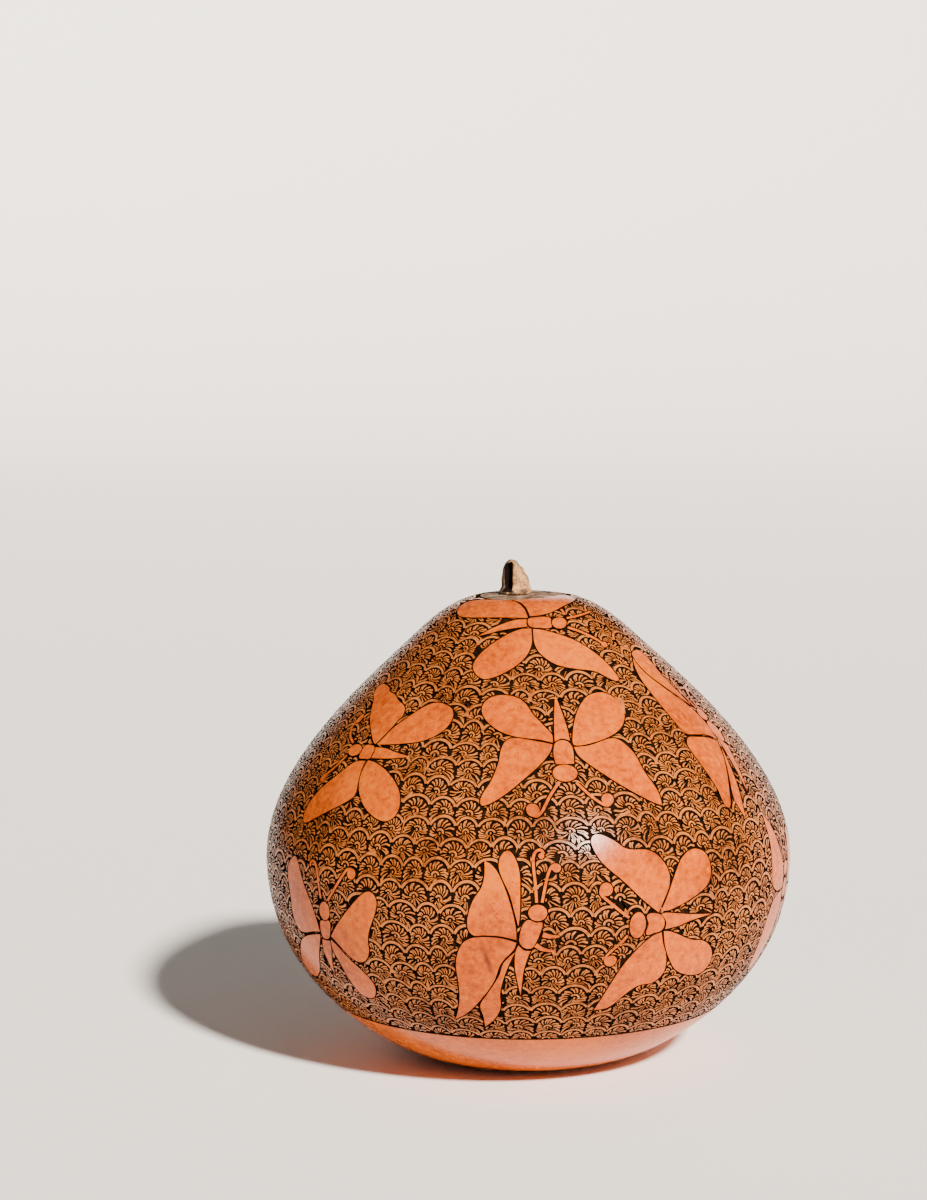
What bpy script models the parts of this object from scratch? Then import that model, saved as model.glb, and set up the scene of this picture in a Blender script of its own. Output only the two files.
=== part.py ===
"""Gourd rattle: a whole dried gourd with its woody stem and loose seeds.

Every length is in metres, +Z is up and the origin is the middle of the flat
that the gourd rests on.  The shell is one grown wall around a hollow chamber.
The stem's root fills the hole at the crown, and the seeds lie on the floor of
the chamber, each in a column of its own so that it can fly up when shaken.
"""

import math
import random

import bmesh
import bpy
from mathutils import Matrix, Vector
from mathutils.geometry import interpolate_bezier

MM = 0.001

# Outer shape of the gourd
BELLY_RADIUS = 52.5 * MM
BODY_HEIGHT = 93.0 * MM
BELLY_HEIGHT = 40.5 * MM
CROWN_DEPTH = 7.4 * MM          # from the crown down to where the shoulder begins
SHOULDER_RADIUS = 21.0 * MM
SHOULDER_SLOPE = math.radians(43.0)
KEEL_INSET = 19.5 * MM          # from the belly in to where the underside turns flat
KEEL_HEIGHT = 6.5 * MM
KEEL_SLOPE = math.radians(35.0)
FOOT_RADIUS = 11.0 * MM         # flat that the gourd stands on
CROWN_LEAN = -0.9 * MM          # the crown grew slightly to one side

# How far each round stretch of the outline reaches along its tangents
CROWN_REACH = 9.0 * MM
SHOULDER_REACH_UP = 10.5 * MM
SHOULDER_REACH_DOWN = 15.0 * MM
BELLY_REACH_UP = 18.0 * MM
BELLY_REACH_DOWN = 20.0 * MM
KEEL_REACH_UP = 6.0 * MM
KEEL_REACH_DOWN = 10.0 * MM
FOOT_REACH = 8.0 * MM

WALL = 3.5 * MM                 # thickness of the dried rind
FIT_GAP = 0.3 * MM              # between pieces that touch

# Stem: a broken stub with a hollow pith, rooted in the crown
STEM_ROOT_RADIUS = 2.9 * MM
STEM_COLLAR_LIP = 0.5 * MM      # how far the collar laps over the rim of the socket
STEM_COLLAR_HEIGHT = 1.2 * MM
STEM_TOP_RADIUS = 2.3 * MM
STEM_HEIGHT = 6.5 * MM          # above the crown
STEM_ROOT_BELOW = 0.8 * MM      # how far the root comes through the wall
STEM_OFFSET = -1.6 * MM         # beside the middle of the leaning crown
STEM_TOP_SHIFT = -0.9 * MM
PITH_RADIUS = 1.1 * MM
PITH_DEPTH = 4.0 * MM

# Seeds
SEED_LENGTH = 9.6 * MM
SEED_WIDTH = 5.2 * MM
SEED_THICKNESS = 2.2 * MM
SEED_RIM_SHARE = 0.45           # thickness of the rim against the middle
SEED_TAPER = 0.45               # how much narrower the pointed end is
SEED_SPACING = 0.8 * MM         # between the round plots that two seeds turn in
SEED_RINGS = (3, 9, 15)         # seeds in each ring around the middle
SEED_SCATTER = 11               # starts the random turning of the seeds

# Facets
AROUND_SHELL = 48
SPAN_STEPS_OUTER = (7, 10, 9, 6)
SPAN_STEPS_INNER = (5, 7, 6, 5)
AROUND_STEM = 14
AROUND_SEED = 12
MERGE_DISTANCE = 0.001 * MM

COLOURS = {
    "skin": (0.66, 0.24, 0.055),
    "stem_wood": (0.42, 0.30, 0.19),
    "seed_coat": (0.62, 0.47, 0.30),
}
ROUGHNESS = {"skin": 0.38, "stem_wood": 0.9, "seed_coat": 0.7}


def clear_scene():
    for item in list(bpy.data.objects):
        bpy.data.objects.remove(item, do_unlink=True)


def material(name):
    """One Principled material for each kind of tissue."""
    found = bpy.data.materials.get(name)
    if found:
        return found
    made = bpy.data.materials.new(name)
    made.use_nodes = True
    shader = made.node_tree.nodes["Principled BSDF"]
    shader.inputs["Base Color"].default_value = (*COLOURS[name], 1.0)
    shader.inputs["Roughness"].default_value = ROUGHNESS[name]
    shader.inputs["Metallic"].default_value = 0.0
    return made


def add_object(name, bm, material_name):
    """Turn a finished bmesh into a named, smooth-shaded object."""
    mesh = bpy.data.meshes.new(name)
    bm.to_mesh(mesh)
    bm.free()
    mesh.shade_smooth()
    mesh.set_sharp_from_angle(angle=math.radians(40.0))
    mesh.materials.append(material(material_name))
    thing = bpy.data.objects.new(name, mesh)
    bpy.context.collection.objects.link(thing)
    return thing


def body_outline(span_steps):
    """Half outline in the XZ plane, from the crown's middle to the foot's middle."""
    crown = Vector((0.0, 0.0, BODY_HEIGHT))
    shoulder = Vector((SHOULDER_RADIUS, 0.0, BODY_HEIGHT - CROWN_DEPTH))
    belly = Vector((BELLY_RADIUS, 0.0, BELLY_HEIGHT))
    keel = Vector((BELLY_RADIUS - KEEL_INSET, 0.0, KEEL_HEIGHT))
    foot = Vector((FOOT_RADIUS, 0.0, 0.0))
    outward = Vector((1.0, 0.0, 0.0))
    up = Vector((0.0, 0.0, 1.0))
    down_shoulder = Vector((math.cos(SHOULDER_SLOPE), 0.0, -math.sin(SHOULDER_SLOPE)))
    down_keel = Vector((-math.cos(KEEL_SLOPE), 0.0, -math.sin(KEEL_SLOPE)))
    spans = (
        (crown, crown + outward * CROWN_REACH,
         shoulder - down_shoulder * SHOULDER_REACH_UP, shoulder),
        (shoulder, shoulder + down_shoulder * SHOULDER_REACH_DOWN,
         belly + up * BELLY_REACH_UP, belly),
        (belly, belly - up * BELLY_REACH_DOWN,
         keel - down_keel * KEEL_REACH_UP, keel),
        (keel, keel + down_keel * KEEL_REACH_DOWN,
         foot + outward * FOOT_REACH, foot),
    )
    points = [crown]
    for span, steps in zip(spans, span_steps):
        points.extend(interpolate_bezier(*span, steps + 1)[1:])
    points.append(Vector((0.0, 0.0, 0.0)))
    return points


def inset_outline(points, depth):
    """The outline moved inwards by the wall, square to its own direction."""
    inner = [points[0] - Vector((0.0, 0.0, depth))]
    for before, here, after in zip(points, points[1:], points[2:]):
        along = (after - before).normalized()
        inner.append(here + Vector((along.z, 0.0, -along.x)) * depth)
    inner.append(points[-1] + Vector((0.0, 0.0, depth)))
    return inner


def lean_at(height):
    """Sideways growth of the gourd, nothing up to the belly and most at the crown."""
    share = max(0.0, (height - BELLY_HEIGHT) / (BODY_HEIGHT - BELLY_HEIGHT))
    return CROWN_LEAN * share * share


def turned_wall(outline, faces_out):
    """A bmesh of the outline turned once around Z."""
    bm = bmesh.new()
    chain = [bm.verts.new(point) for point in outline]
    edges = [bm.edges.new(pair) for pair in zip(chain, chain[1:])]
    bmesh.ops.spin(
        bm, geom=chain + edges, cent=(0.0, 0.0, 0.0), axis=(0.0, 0.0, 1.0),
        angle=2.0 * math.pi, steps=AROUND_SHELL, use_merge=True, use_duplicate=False)
    bmesh.ops.remove_doubles(bm, verts=bm.verts, dist=MERGE_DISTANCE)
    bmesh.ops.recalc_face_normals(bm, faces=bm.faces)
    if not faces_out:
        bmesh.ops.reverse_faces(bm, faces=bm.faces)
    return bm


def stem_centre():
    return CROWN_LEAN + STEM_OFFSET


def socket_cutter():
    """The hole in the crown, one fit gap wider than the stem's root."""
    bm = bmesh.new()
    height = 6.0 * WALL
    middle = Vector((stem_centre(), 0.0, BODY_HEIGHT))
    bmesh.ops.create_cone(
        bm, cap_ends=True, segments=AROUND_STEM * 2,
        radius1=STEM_ROOT_RADIUS + FIT_GAP, radius2=STEM_ROOT_RADIUS + FIT_GAP,
        depth=height, matrix=Matrix.Translation(middle))
    cutter = add_object("socket_cutter", bm, "skin")
    cutter.hide_render = True
    cutter.display_type = "WIRE"
    return cutter


def make_shell():
    """The dried rind: an outer and an inner skin with the stem's socket cut through."""
    outer = turned_wall(body_outline(SPAN_STEPS_OUTER), faces_out=True)
    inner = turned_wall(inset_outline(body_outline(SPAN_STEPS_INNER), WALL), faces_out=False)
    inner_mesh = bpy.data.meshes.new("chamber_wall")
    inner.to_mesh(inner_mesh)
    inner.free()
    outer.from_mesh(inner_mesh)
    bpy.data.meshes.remove(inner_mesh)
    for vert in outer.verts:
        vert.co.x += lean_at(vert.co.z)
    shell = add_object("gourd_shell", outer, "skin")
    cut = shell.modifiers.new("stem_socket", "BOOLEAN")
    cut.operation = "DIFFERENCE"
    cut.solver = "EXACT"
    cut.object = socket_cutter()
    return shell


def faces_of(items):
    return [item for item in items if isinstance(item, bmesh.types.BMFace)]


def verts_of(items):
    return [item for item in items if isinstance(item, bmesh.types.BMVert)]


def grow_end(bm, end, centre, ratio, move):
    """Extrude a solid's end face, then narrow or widen it and move it."""
    grown = bmesh.ops.extrude_discrete_faces(bm, faces=[end])["faces"][0]
    bmesh.ops.scale(bm, vec=(ratio, ratio, 1.0), verts=grown.verts[:],
                    space=Matrix.Translation(-centre))
    bmesh.ops.translate(bm, vec=move, verts=grown.verts[:])
    return grown


def make_stem():
    """A stub lofted from its root, through the collar, to the hollow broken top."""
    collar_radius = STEM_ROOT_RADIUS + STEM_COLLAR_LIP
    sections = (
        # height, radius, sideways shift
        (-(WALL + STEM_ROOT_BELOW), STEM_ROOT_RADIUS, 0.0),
        (FIT_GAP, STEM_ROOT_RADIUS, 0.0),
        (FIT_GAP, collar_radius, 0.0),
        (FIT_GAP + STEM_COLLAR_HEIGHT, collar_radius, 0.0),
        (0.5 * STEM_HEIGHT, STEM_ROOT_RADIUS, 0.4 * STEM_TOP_SHIFT),
        (STEM_HEIGHT, STEM_TOP_RADIUS, STEM_TOP_SHIFT),
        # down into the pith
        (STEM_HEIGHT, PITH_RADIUS, STEM_TOP_SHIFT),
        (STEM_HEIGHT - PITH_DEPTH, PITH_RADIUS, 0.4 * STEM_TOP_SHIFT),
    )
    height, radius, shift = sections[0]
    bm = bmesh.new()
    bmesh.ops.create_circle(bm, cap_ends=True, segments=AROUND_STEM, radius=radius,
                            matrix=Matrix.Translation((shift, 0.0, height)))
    bm.faces.ensure_lookup_table()
    root_end = bm.faces[0]
    end = faces_of(bmesh.ops.duplicate(bm, geom=[root_end])["geom"])[0]
    for next_height, next_radius, next_shift in sections[1:]:
        centre = Vector((shift, 0.0, height))
        move = (next_shift - shift, 0.0, next_height - height)
        end = grow_end(bm, end, centre, next_radius / radius, move)
        height, radius, shift = next_height, next_radius, next_shift
    bmesh.ops.remove_doubles(bm, verts=bm.verts, dist=MERGE_DISTANCE)
    bmesh.ops.recalc_face_normals(bm, faces=bm.faces)
    stem = add_object("stem", bm, "stem_wood")
    stem.location = (stem_centre(), 0.0, BODY_HEIGHT)
    return stem


def seed_mesh():
    """A flat gourd seed: blunt at one end, narrowed at the other, thinner at its rim."""
    bm = bmesh.new()
    rim = bmesh.ops.create_circle(bm, cap_ends=True, segments=AROUND_SEED, radius=1.0)["verts"]
    for vert in rim:
        along = vert.co.x
        vert.co.x = along * 0.5 * SEED_LENGTH
        narrowing = 1.0 - SEED_TAPER * max(0.0, along)
        vert.co.y *= 0.5 * SEED_WIDTH * narrowing
    lower = bm.faces[:]
    raised = bmesh.ops.extrude_face_region(bm, geom=lower)["geom"]
    upper = faces_of(raised)
    upper_rim = verts_of(raised)
    rim_height = 0.5 * SEED_RIM_SHARE * SEED_THICKNESS
    bmesh.ops.translate(bm, vec=(0.0, 0.0, -rim_height), verts=rim)
    bmesh.ops.translate(bm, vec=(0.0, 0.0, rim_height), verts=upper_rim)
    bmesh.ops.recalc_face_normals(bm, faces=bm.faces)
    inset = 0.22 * SEED_WIDTH
    rise = 0.5 * SEED_THICKNESS - rim_height
    for flat in (upper, lower):
        bmesh.ops.inset_region(bm, faces=flat, thickness=inset, depth=rise)
    mesh = bpy.data.meshes.new("seed")
    bm.to_mesh(mesh)
    bm.free()
    mesh.shade_smooth()
    mesh.set_sharp_from_angle(angle=math.radians(40.0))
    mesh.materials.append(material("seed_coat"))
    return mesh


def chamber_floor():
    """The rising part of the chamber's floor, as points from the middle outwards."""
    inner = inset_outline(body_outline(SPAN_STEPS_INNER), WALL)
    return [point for point in reversed(inner) if point.z < BELLY_HEIGHT]


def floor_at(radius):
    """Height and slope of the chamber's floor at a distance from the middle."""
    points = chamber_floor()
    for low, high in zip(points, points[1:]):
        if low.x <= radius <= high.x:
            share = (radius - low.x) / (high.x - low.x)
            slope = math.atan2(high.z - low.z, high.x - low.x)
            return low.z + share * (high.z - low.z), slope
    raise ValueError("seed ring lies outside the chamber")


def make_seeds():
    """Rings of seeds, each on its own round plot of the floor and turned at random."""
    shared = seed_mesh()
    plot = SEED_LENGTH + SEED_SPACING
    scatter = random.Random(SEED_SCATTER)
    first_ring = plot / math.sqrt(3.0)
    number = 0
    for ring, count in enumerate(SEED_RINGS):
        radius = first_ring + ring * plot
        half = 0.5 * SEED_LENGTH
        low, _ = floor_at(radius - half)
        middle, _ = floor_at(radius)
        high, _ = floor_at(radius + half)
        slope = math.atan2(high - low, 2.0 * half)
        hollow = max(0.0, 0.5 * (low + high) - middle)
        lift = 0.5 * SEED_THICKNESS + FIT_GAP + hollow
        for place in range(count):
            number += 1
            azimuth = 2.0 * math.pi * (place + 0.5 * (ring % 2)) / count
            turn = scatter.uniform(0.0, 2.0 * math.pi)
            seed = bpy.data.objects.new(f"seed_{number:02d}", shared)
            bpy.context.collection.objects.link(seed)
            away = radius - lift * math.sin(slope)
            seed.matrix_world = (
                Matrix.Rotation(azimuth, 4, "Z")
                @ Matrix.Translation((away, 0.0, middle + lift * math.cos(slope)))
                @ Matrix.Rotation(-slope, 4, "Y")
                @ Matrix.Rotation(turn, 4, "Z"))


def main():
    clear_scene()
    make_shell()
    make_stem()
    make_seeds()


main()
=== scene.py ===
# %% [markdown]
# A carved gourd rattle, also called a maraca.  The whole fruit is dried until
# its seeds come loose, its skin is burnished, and then a fine gouge cuts the
# pattern and ash is rubbed into the cuts.  This lesson builds the skin, the
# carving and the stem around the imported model, which sets every place and size.

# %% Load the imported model
import math
import random

import bmesh
import bpy
import numpy as np
from mathutils import Matrix, Vector, noise
from mathutils.geometry import interpolate_bezier


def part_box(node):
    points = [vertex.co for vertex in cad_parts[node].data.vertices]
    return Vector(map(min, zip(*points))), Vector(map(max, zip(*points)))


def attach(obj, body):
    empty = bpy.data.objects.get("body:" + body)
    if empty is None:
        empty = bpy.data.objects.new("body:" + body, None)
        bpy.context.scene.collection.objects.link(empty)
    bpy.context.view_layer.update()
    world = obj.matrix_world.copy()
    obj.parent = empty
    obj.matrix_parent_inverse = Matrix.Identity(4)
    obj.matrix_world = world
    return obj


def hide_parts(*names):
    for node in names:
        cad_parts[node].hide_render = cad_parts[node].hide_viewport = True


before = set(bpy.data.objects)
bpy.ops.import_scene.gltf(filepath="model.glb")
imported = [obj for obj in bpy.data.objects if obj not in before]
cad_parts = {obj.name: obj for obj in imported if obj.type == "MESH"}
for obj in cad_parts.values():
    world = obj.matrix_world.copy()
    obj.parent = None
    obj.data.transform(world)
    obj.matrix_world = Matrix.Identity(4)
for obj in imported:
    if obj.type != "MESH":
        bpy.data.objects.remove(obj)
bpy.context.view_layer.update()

MM = 0.001
shell_low, shell_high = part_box("gourd_shell")
stem_low, stem_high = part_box("stem")
print("gourd", [round(side / MM, 1) for side in shell_high - shell_low], "mm")

# %% [markdown]
# The camera looks slightly down on the gourd from in front, from far enough
# away that the sides hardly lean.  A shift of the lens puts the gourd a little
# right of and below the middle of the frame.  Turning the camera would do that
# too, but only by tilting the gourd.

# %% Camera
CAMERA_DISTANCE = 620 * MM
CAMERA_ELEVATION = math.radians(11.0)
AIM = Vector((0.0, 0.0, 45 * MM))

view_from = Vector((0.0, -math.cos(CAMERA_ELEVATION), math.sin(CAMERA_ELEVATION)))
lens = bpy.data.cameras.new("camera")
lens.lens = 92.6
lens.shift_x = -0.054
lens.shift_y = 0.192
lens.clip_end = 20.0
camera = bpy.data.objects.new("camera", lens)
camera.location = AIM + view_from * CAMERA_DISTANCE
camera.rotation_euler = (-view_from).to_track_quat("-Z", "Y").to_euler()
bpy.context.scene.collection.objects.link(camera)
bpy.context.scene.camera = camera
print("camera at", [round(c, 3) for c in camera.location])

# %% [markdown]
# Every finish below is a small node tree.  One function turns a hex colour to
# linear light, and one adds a node with its settings and links, so a finish
# reads from top to bottom like a recipe.  A texture's scale counts how often it
# repeats in a metre, so a third function works it out from a size that could be
# measured with a ruler.


# %% Colour and node helpers
def linear(code, alpha=1.0):
    """A hex sRGB colour as the linear numbers that a shader takes."""
    parts = [int(code[i:i + 2], 16) / 255 for i in (1, 3, 5)]
    return (*[p / 12.92 if p < 0.04045 else ((p + 0.055) / 1.055) ** 2.4 for p in parts], alpha)


def repeats(size):
    """The texture scale for a pattern whose features are a size in millimetres apart."""
    return 1.0 / (size * MM)


def add(tree, kind, settings=None, **links):
    """Add one node; settings go to its properties, stops or sockets, links to its inputs."""
    node = tree.nodes.new(kind)
    for name, value in (settings or {}).items():
        if name == "stops":             # (position, hex colour) pairs along a colour ramp
            band = node.color_ramp.elements
            band.remove(band[1])
            band[0].position, band[0].color = value[0][0], linear(value[0][1])
            for position, code in value[1:]:
                band.new(position).color = linear(code)
        elif hasattr(node, name):
            setattr(node, name, value)
        else:
            node.inputs[int(name) if name.isdigit() else name].default_value = value
    for name, source in links.items():
        key = int(name[1:]) if name[1:].isdigit() else name.replace("_", " ")
        tree.links.new(source, node.inputs[key])
    return node


def new_finish(name, **values):
    """A material with one Principled shader, whose plain sockets are set directly."""
    finish = bpy.data.materials.new(name)
    finish.use_nodes = True
    shader = finish.node_tree.nodes["Principled BSDF"]
    for socket, value in values.items():
        shader.inputs[socket.replace("_", " ")].default_value = value
    return finish, finish.node_tree, shader


print("a mid orange in linear light:", [round(part, 3) for part in linear("#BA5005")[:3]])

# %% [markdown]
# Burnished gourd skin is a thin waxy rind, polished with a cloth until it has a
# soft shine.  Its orange is clouded over about a centimetre, mottled over a
# millimetre or so and freckled with brown pores less than a millimetre apart.
# Three colours on two sizes of noise give the clouds, and small cells give the
# pores.  Wax has an IOR near 1.46, and the specular level is low because hand
# polish covers only part of a porous skin.


# %% Burnished skin
def burnished_skin(name, light, middle, dark, polish):
    """Rind polished with a cloth: the eye sees a soft shine on clouded orange."""
    finish, tree, shader = new_finish(name, IOR=1.46, Specular_IOR_Level=polish)
    place = add(tree, "ShaderNodeTexCoord").outputs["Object"]
    clouds = add(tree, "ShaderNodeTexNoise", {"Scale": repeats(12.5), "Detail": 3.0},
                 Vector=place)
    mottle = add(tree, "ShaderNodeTexNoise",
                 {"Scale": repeats(1.25), "Detail": 4.0, "Roughness": 0.65}, Vector=place)
    cloud_share = add(tree, "ShaderNodeMath", {"operation": "MULTIPLY", "1": 0.42},
                      _0=clouds.outputs["Fac"])
    mix = add(tree, "ShaderNodeMath", {"operation": "MULTIPLY_ADD", "1": 0.58},
              _0=mottle.outputs["Fac"], _2=cloud_share.outputs[0])
    colour = add(tree, "ShaderNodeValToRGB",
                 {"stops": ((0.36, dark), (0.49, middle), (0.62, light))}, _0=mix.outputs[0])
    pores = add(tree, "ShaderNodeTexVoronoi", {"Scale": repeats(0.77), "Randomness": 1.0},
                Vector=place)
    pored_patch = add(tree, "ShaderNodeTexNoise", {"Scale": repeats(3.33), "Detail": 2.0},
                      Vector=place)
    limit = add(tree, "ShaderNodeMapRange",
                {"From Min": 0.40, "From Max": 0.70, "To Min": 0.05, "To Max": 0.30},
                Value=pored_patch.outputs["Fac"])
    freckle = add(tree, "ShaderNodeMath", {"operation": "LESS_THAN"},
                  _0=pores.outputs["Distance"], _1=limit.outputs[0])
    share = add(tree, "ShaderNodeMath", {"operation": "MULTIPLY", "1": 0.5},
                _0=freckle.outputs[0])
    speckled = add(tree, "ShaderNodeMix", {"data_type": "RGBA", "7": linear("#6A2A0A")},
                   _0=share.outputs[0], _6=colour.outputs["Color"])
    tree.links.new(speckled.outputs[2], shader.inputs["Base Color"])
    wear = add(tree, "ShaderNodeMapRange", {"To Min": 0.12, "To Max": 0.36},
               Value=mottle.outputs["Fac"])
    tree.links.new(wear.outputs[0], shader.inputs["Roughness"])
    ripple = add(tree, "ShaderNodeBump", {"Strength": 0.2, "Distance": 0.0001},
                 Height=mottle.outputs["Fac"])
    tree.links.new(ripple.outputs["Normal"], shader.inputs["Normal"])
    return finish


skin = burnished_skin("burnished_gourd_skin", "#CE640C", "#BA5005", "#923C04", 0.2)
# Among the scales soot stays in every scratch, which leaves the skin browner
scale_skin = burnished_skin("soot_rubbed_scales", "#BA6E36", "#A65C26", "#703A16", 0.2)
# The base band was never carved, so it is paler and has less wax
band_skin = burnished_skin("burnished_base_band", "#CC6412", "#B9540A", "#923E08", 0.14)
print("skins:", skin.name + ",", scale_skin.name + ",", band_skin.name)

# %% [markdown]
# A gourd bumps against things while it grows.  An old scratch on this one healed
# to a soft purple-brown streak about ten millimetres long, low on the front.  A
# round gradient, stretched to that size and leaned by 18 degrees, mixes its
# colour over the skin, so there is no edge to see.

# %% Healed scratch
tree = skin.node_tree
into_colour = tree.nodes["Principled BSDF"].inputs["Base Color"]
streak_place = add(tree, "ShaderNodeMapping",
                   {"vector_type": "TEXTURE", "Location": (-7.7 * MM, -50.5 * MM, 30.5 * MM),
                    "Rotation": (0.0, math.radians(-18.0), 0.0),
                    "Scale": (0.9 * MM, 4 * MM, 5.5 * MM)},
                   Vector=add(tree, "ShaderNodeTexCoord").outputs["Object"])
streak = add(tree, "ShaderNodeTexGradient", {"gradient_type": "SPHERICAL"},
             Vector=streak_place.outputs[0])
healed = add(tree, "ShaderNodeMix", {"data_type": "RGBA", "7": linear("#5C2418")},
             _0=streak.outputs["Fac"], _6=into_colour.links[0].from_socket)
tree.links.new(healed.outputs[2], into_colour)
print("scratch at", [round(c / MM, 1) for c in streak_place.inputs["Location"].default_value])

# %% [markdown]
# Everything else on the gourd is matt: the sooted cuts, the raw crown and the
# pith inside the wall.  One recipe makes them all, with colours clouded at one
# size and a grain of the same size, because dust, scurf and pith all scatter
# light at their own grain.


# %% Matt finishes
def clouded(name, roughness, size, stops, bump, **values):
    """A matt finish with clouds and grain of one size in millimetres."""
    finish, tree, shader = new_finish(name, Roughness=roughness, **values)
    place = add(tree, "ShaderNodeTexCoord").outputs["Object"]
    cloud = add(tree, "ShaderNodeTexNoise",
                {"Scale": repeats(size), "Detail": 6.0, "Roughness": 0.65}, Vector=place)
    colour = add(tree, "ShaderNodeValToRGB", {"stops": stops}, _0=cloud.outputs["Fac"])
    tree.links.new(colour.outputs["Color"], shader.inputs["Base Color"])
    grain = add(tree, "ShaderNodeBump", {"Strength": 0.6, "Distance": bump * MM},
                Height=cloud.outputs["Fac"])
    tree.links.new(grain.outputs["Normal"], shader.inputs["Normal"])
    return finish


# Ash and oil rubbed into the cuts: the eye sees matt black going to burnt brown
soot = clouded("sooted_cut", 0.85, 2.0,
               ((0.35, "#0C0704"), (0.6, "#1E120A"), (0.8, "#3A2110")), 0.1,
               Specular_IOR_Level=0.0)
# Skin that was never scraped: a grey bloom with brown blotches of a few millimetres
raw_skin = clouded("raw_crown_skin", 0.8, 2.38,
                   ((0.34, "#241810"), (0.45, "#54402E"), (0.54, "#7C6350"), (0.68, "#A8937E")),
                   0.4, Specular_IOR_Level=0.3)
# The inside of the rind is a pale sponge, which swallows any shine
pith_wall = clouded("dried_rind_inside", 0.9, 5.0,
                    ((0.3, "#B8955F"), (0.6, "#D8BC8C"), (0.8, "#E6D2AC")), 0.6)
# A dry seed has a papery coat: buff, nearly smooth, with a dull shine
seed_coat = clouded("papery_seed_coat", 0.7, 1.11,
                    ((0.3, "#9C7447"), (0.55, "#C2A06E"), (0.8, "#D8BE94")), 0.08)
print(len(bpy.data.materials), "finishes")

# %% [markdown]
# The carving follows the gourd, so it is drawn flat first and wrapped on
# afterwards.  That takes two tools: a smooth line through a few points, which
# also draws every wing later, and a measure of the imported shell.  Points on the
# shell's left and right edges give the radius and the lean at each height.


# %% Smooth lines
def round_line(points, closed, steps):
    """A smooth line through given points; a point with a third value is a corner."""
    spots = [Vector((point[0], point[1], 0.0)) for point in points]
    corner = [len(point) == 3 for point in points]
    count = len(spots)
    line = []
    for i in range(count if closed else count - 1):
        j = (i + 1) % count
        before = spots[i - 1] if closed or i > 0 else spots[i]
        after = spots[(i + 2) % count] if closed or i + 2 < count else spots[j]
        reach = (spots[j] - spots[i]).length / 3
        leave = spots[i] if corner[i] else spots[i] + (spots[j] - before).normalized() * reach
        arrive = spots[j] if corner[j] else spots[j] - (after - spots[i]).normalized() * reach
        line.extend(interpolate_bezier(spots[i], leave, arrive, spots[j], steps + 1)[:-1])
    if not closed:
        line.append(spots[-1])
    return line


def outer_edge(node):
    """(radius, height, lean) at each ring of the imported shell, from the top down."""
    bm = bmesh.new()
    bm.from_mesh(node.data)
    bmesh.ops.remove_doubles(bm, verts=bm.verts, dist=0.001 * MM)
    bm.normal_update()
    middle = (shell_low + shell_high) / 2
    sides = {}
    for vert in bm.verts:
        outward = vert.normal.dot(vert.co - middle) > 0.0
        if outward and abs(vert.co.y) < 0.01 * MM and abs(vert.co.x) > 7 * MM:
            sides.setdefault(round(vert.co.z / MM, 2), []).append(vert.co.x)
    bm.free()
    rings = [(z * MM, min(xs), max(xs)) for z, xs in sides.items() if min(xs) < 0.0 < max(xs)]
    rings.sort(reverse=True)
    return [((right - left) / 2, z, (right + left) / 2) for z, left, right in rings]


rings = outer_edge(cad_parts["gourd_shell"])
print(len(rings), "rings measured on the packed shell")

# %% [markdown]
# A tape laid from the crown over the belly to the foot gives every place a
# distance walked.  A smooth line through the rings is walked in that way, which
# gives a table of radius, height and outward direction against the distance.

# %% Walk the outline
mirrored = (-rings[0][0], rings[0][1])
walk = round_line([mirrored, (0.0, shell_high.z)] + [ring[:2] for ring in rings]
                  + [(0.0, shell_low.z, "corner")], closed=False, steps=12)[12:]
walk = np.array([spot[:2] for spot in walk])
strides = np.hypot(*np.diff(walk, axis=0).T)
WALKED = np.concatenate([[0.0], np.cumsum(strides)])
RADIUS, HEIGHT = walk.T
slope = np.gradient(walk, axis=0)
slope /= np.linalg.norm(slope, axis=1)[:, None]
OUT_R, OUT_Z = -slope[:, 1], slope[:, 0]
BELLY = float(RADIUS.max())
LEAN_HEIGHTS = [ring[1] for ring in reversed(rings)]
LEANS = [ring[2] for ring in reversed(rings)]


def radius_at(walked):
    return np.interp(walked, WALKED, RADIUS)


print("outline", round(WALKED[-1] / MM, 1), "mm from crown to foot, belly",
      round(BELLY / MM, 2), "mm")

# %% [markdown]
# On the flat sheet, x runs around the gourd in belly millimetres, y runs up to
# the crown at y = 0, and z stands off the skin.  Wrapping is one formula for
# every vertex, so carved pieces of any shape keep their depth square to the
# skin.


# %% Wrapping a sheet on the gourd
def wrap(mesh):
    """Lay a flat drawing on the gourd, its x around the belly and its front at -Y."""
    flat = np.empty(len(mesh.vertices) * 3)
    mesh.vertices.foreach_get("co", flat)
    flat = flat.reshape(-1, 3)
    angle = flat[:, 0] / BELLY
    walked = -flat[:, 1]
    radius = radius_at(walked) + flat[:, 2] * np.interp(walked, WALKED, OUT_R)
    height = np.interp(walked, WALKED, HEIGHT) + flat[:, 2] * np.interp(walked, WALKED, OUT_Z)
    lean = np.interp(height, LEAN_HEIGHTS, LEANS)
    across, ahead = lean + radius * np.sin(angle), -radius * np.cos(angle)
    mesh.vertices.foreach_set("co", np.stack([across, ahead, height], axis=1).ravel())
    mesh.update()


print("a millimetre at the crown's edge takes",
      round(BELLY / float(radius_at(9 * MM)), 1), "mm of the sheet")

# %% [markdown]
# Every piece ends the same way: its bmesh becomes a mesh with smooth shading and
# crisp edges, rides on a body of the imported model, and names the slot that its
# finish belongs to.


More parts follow.
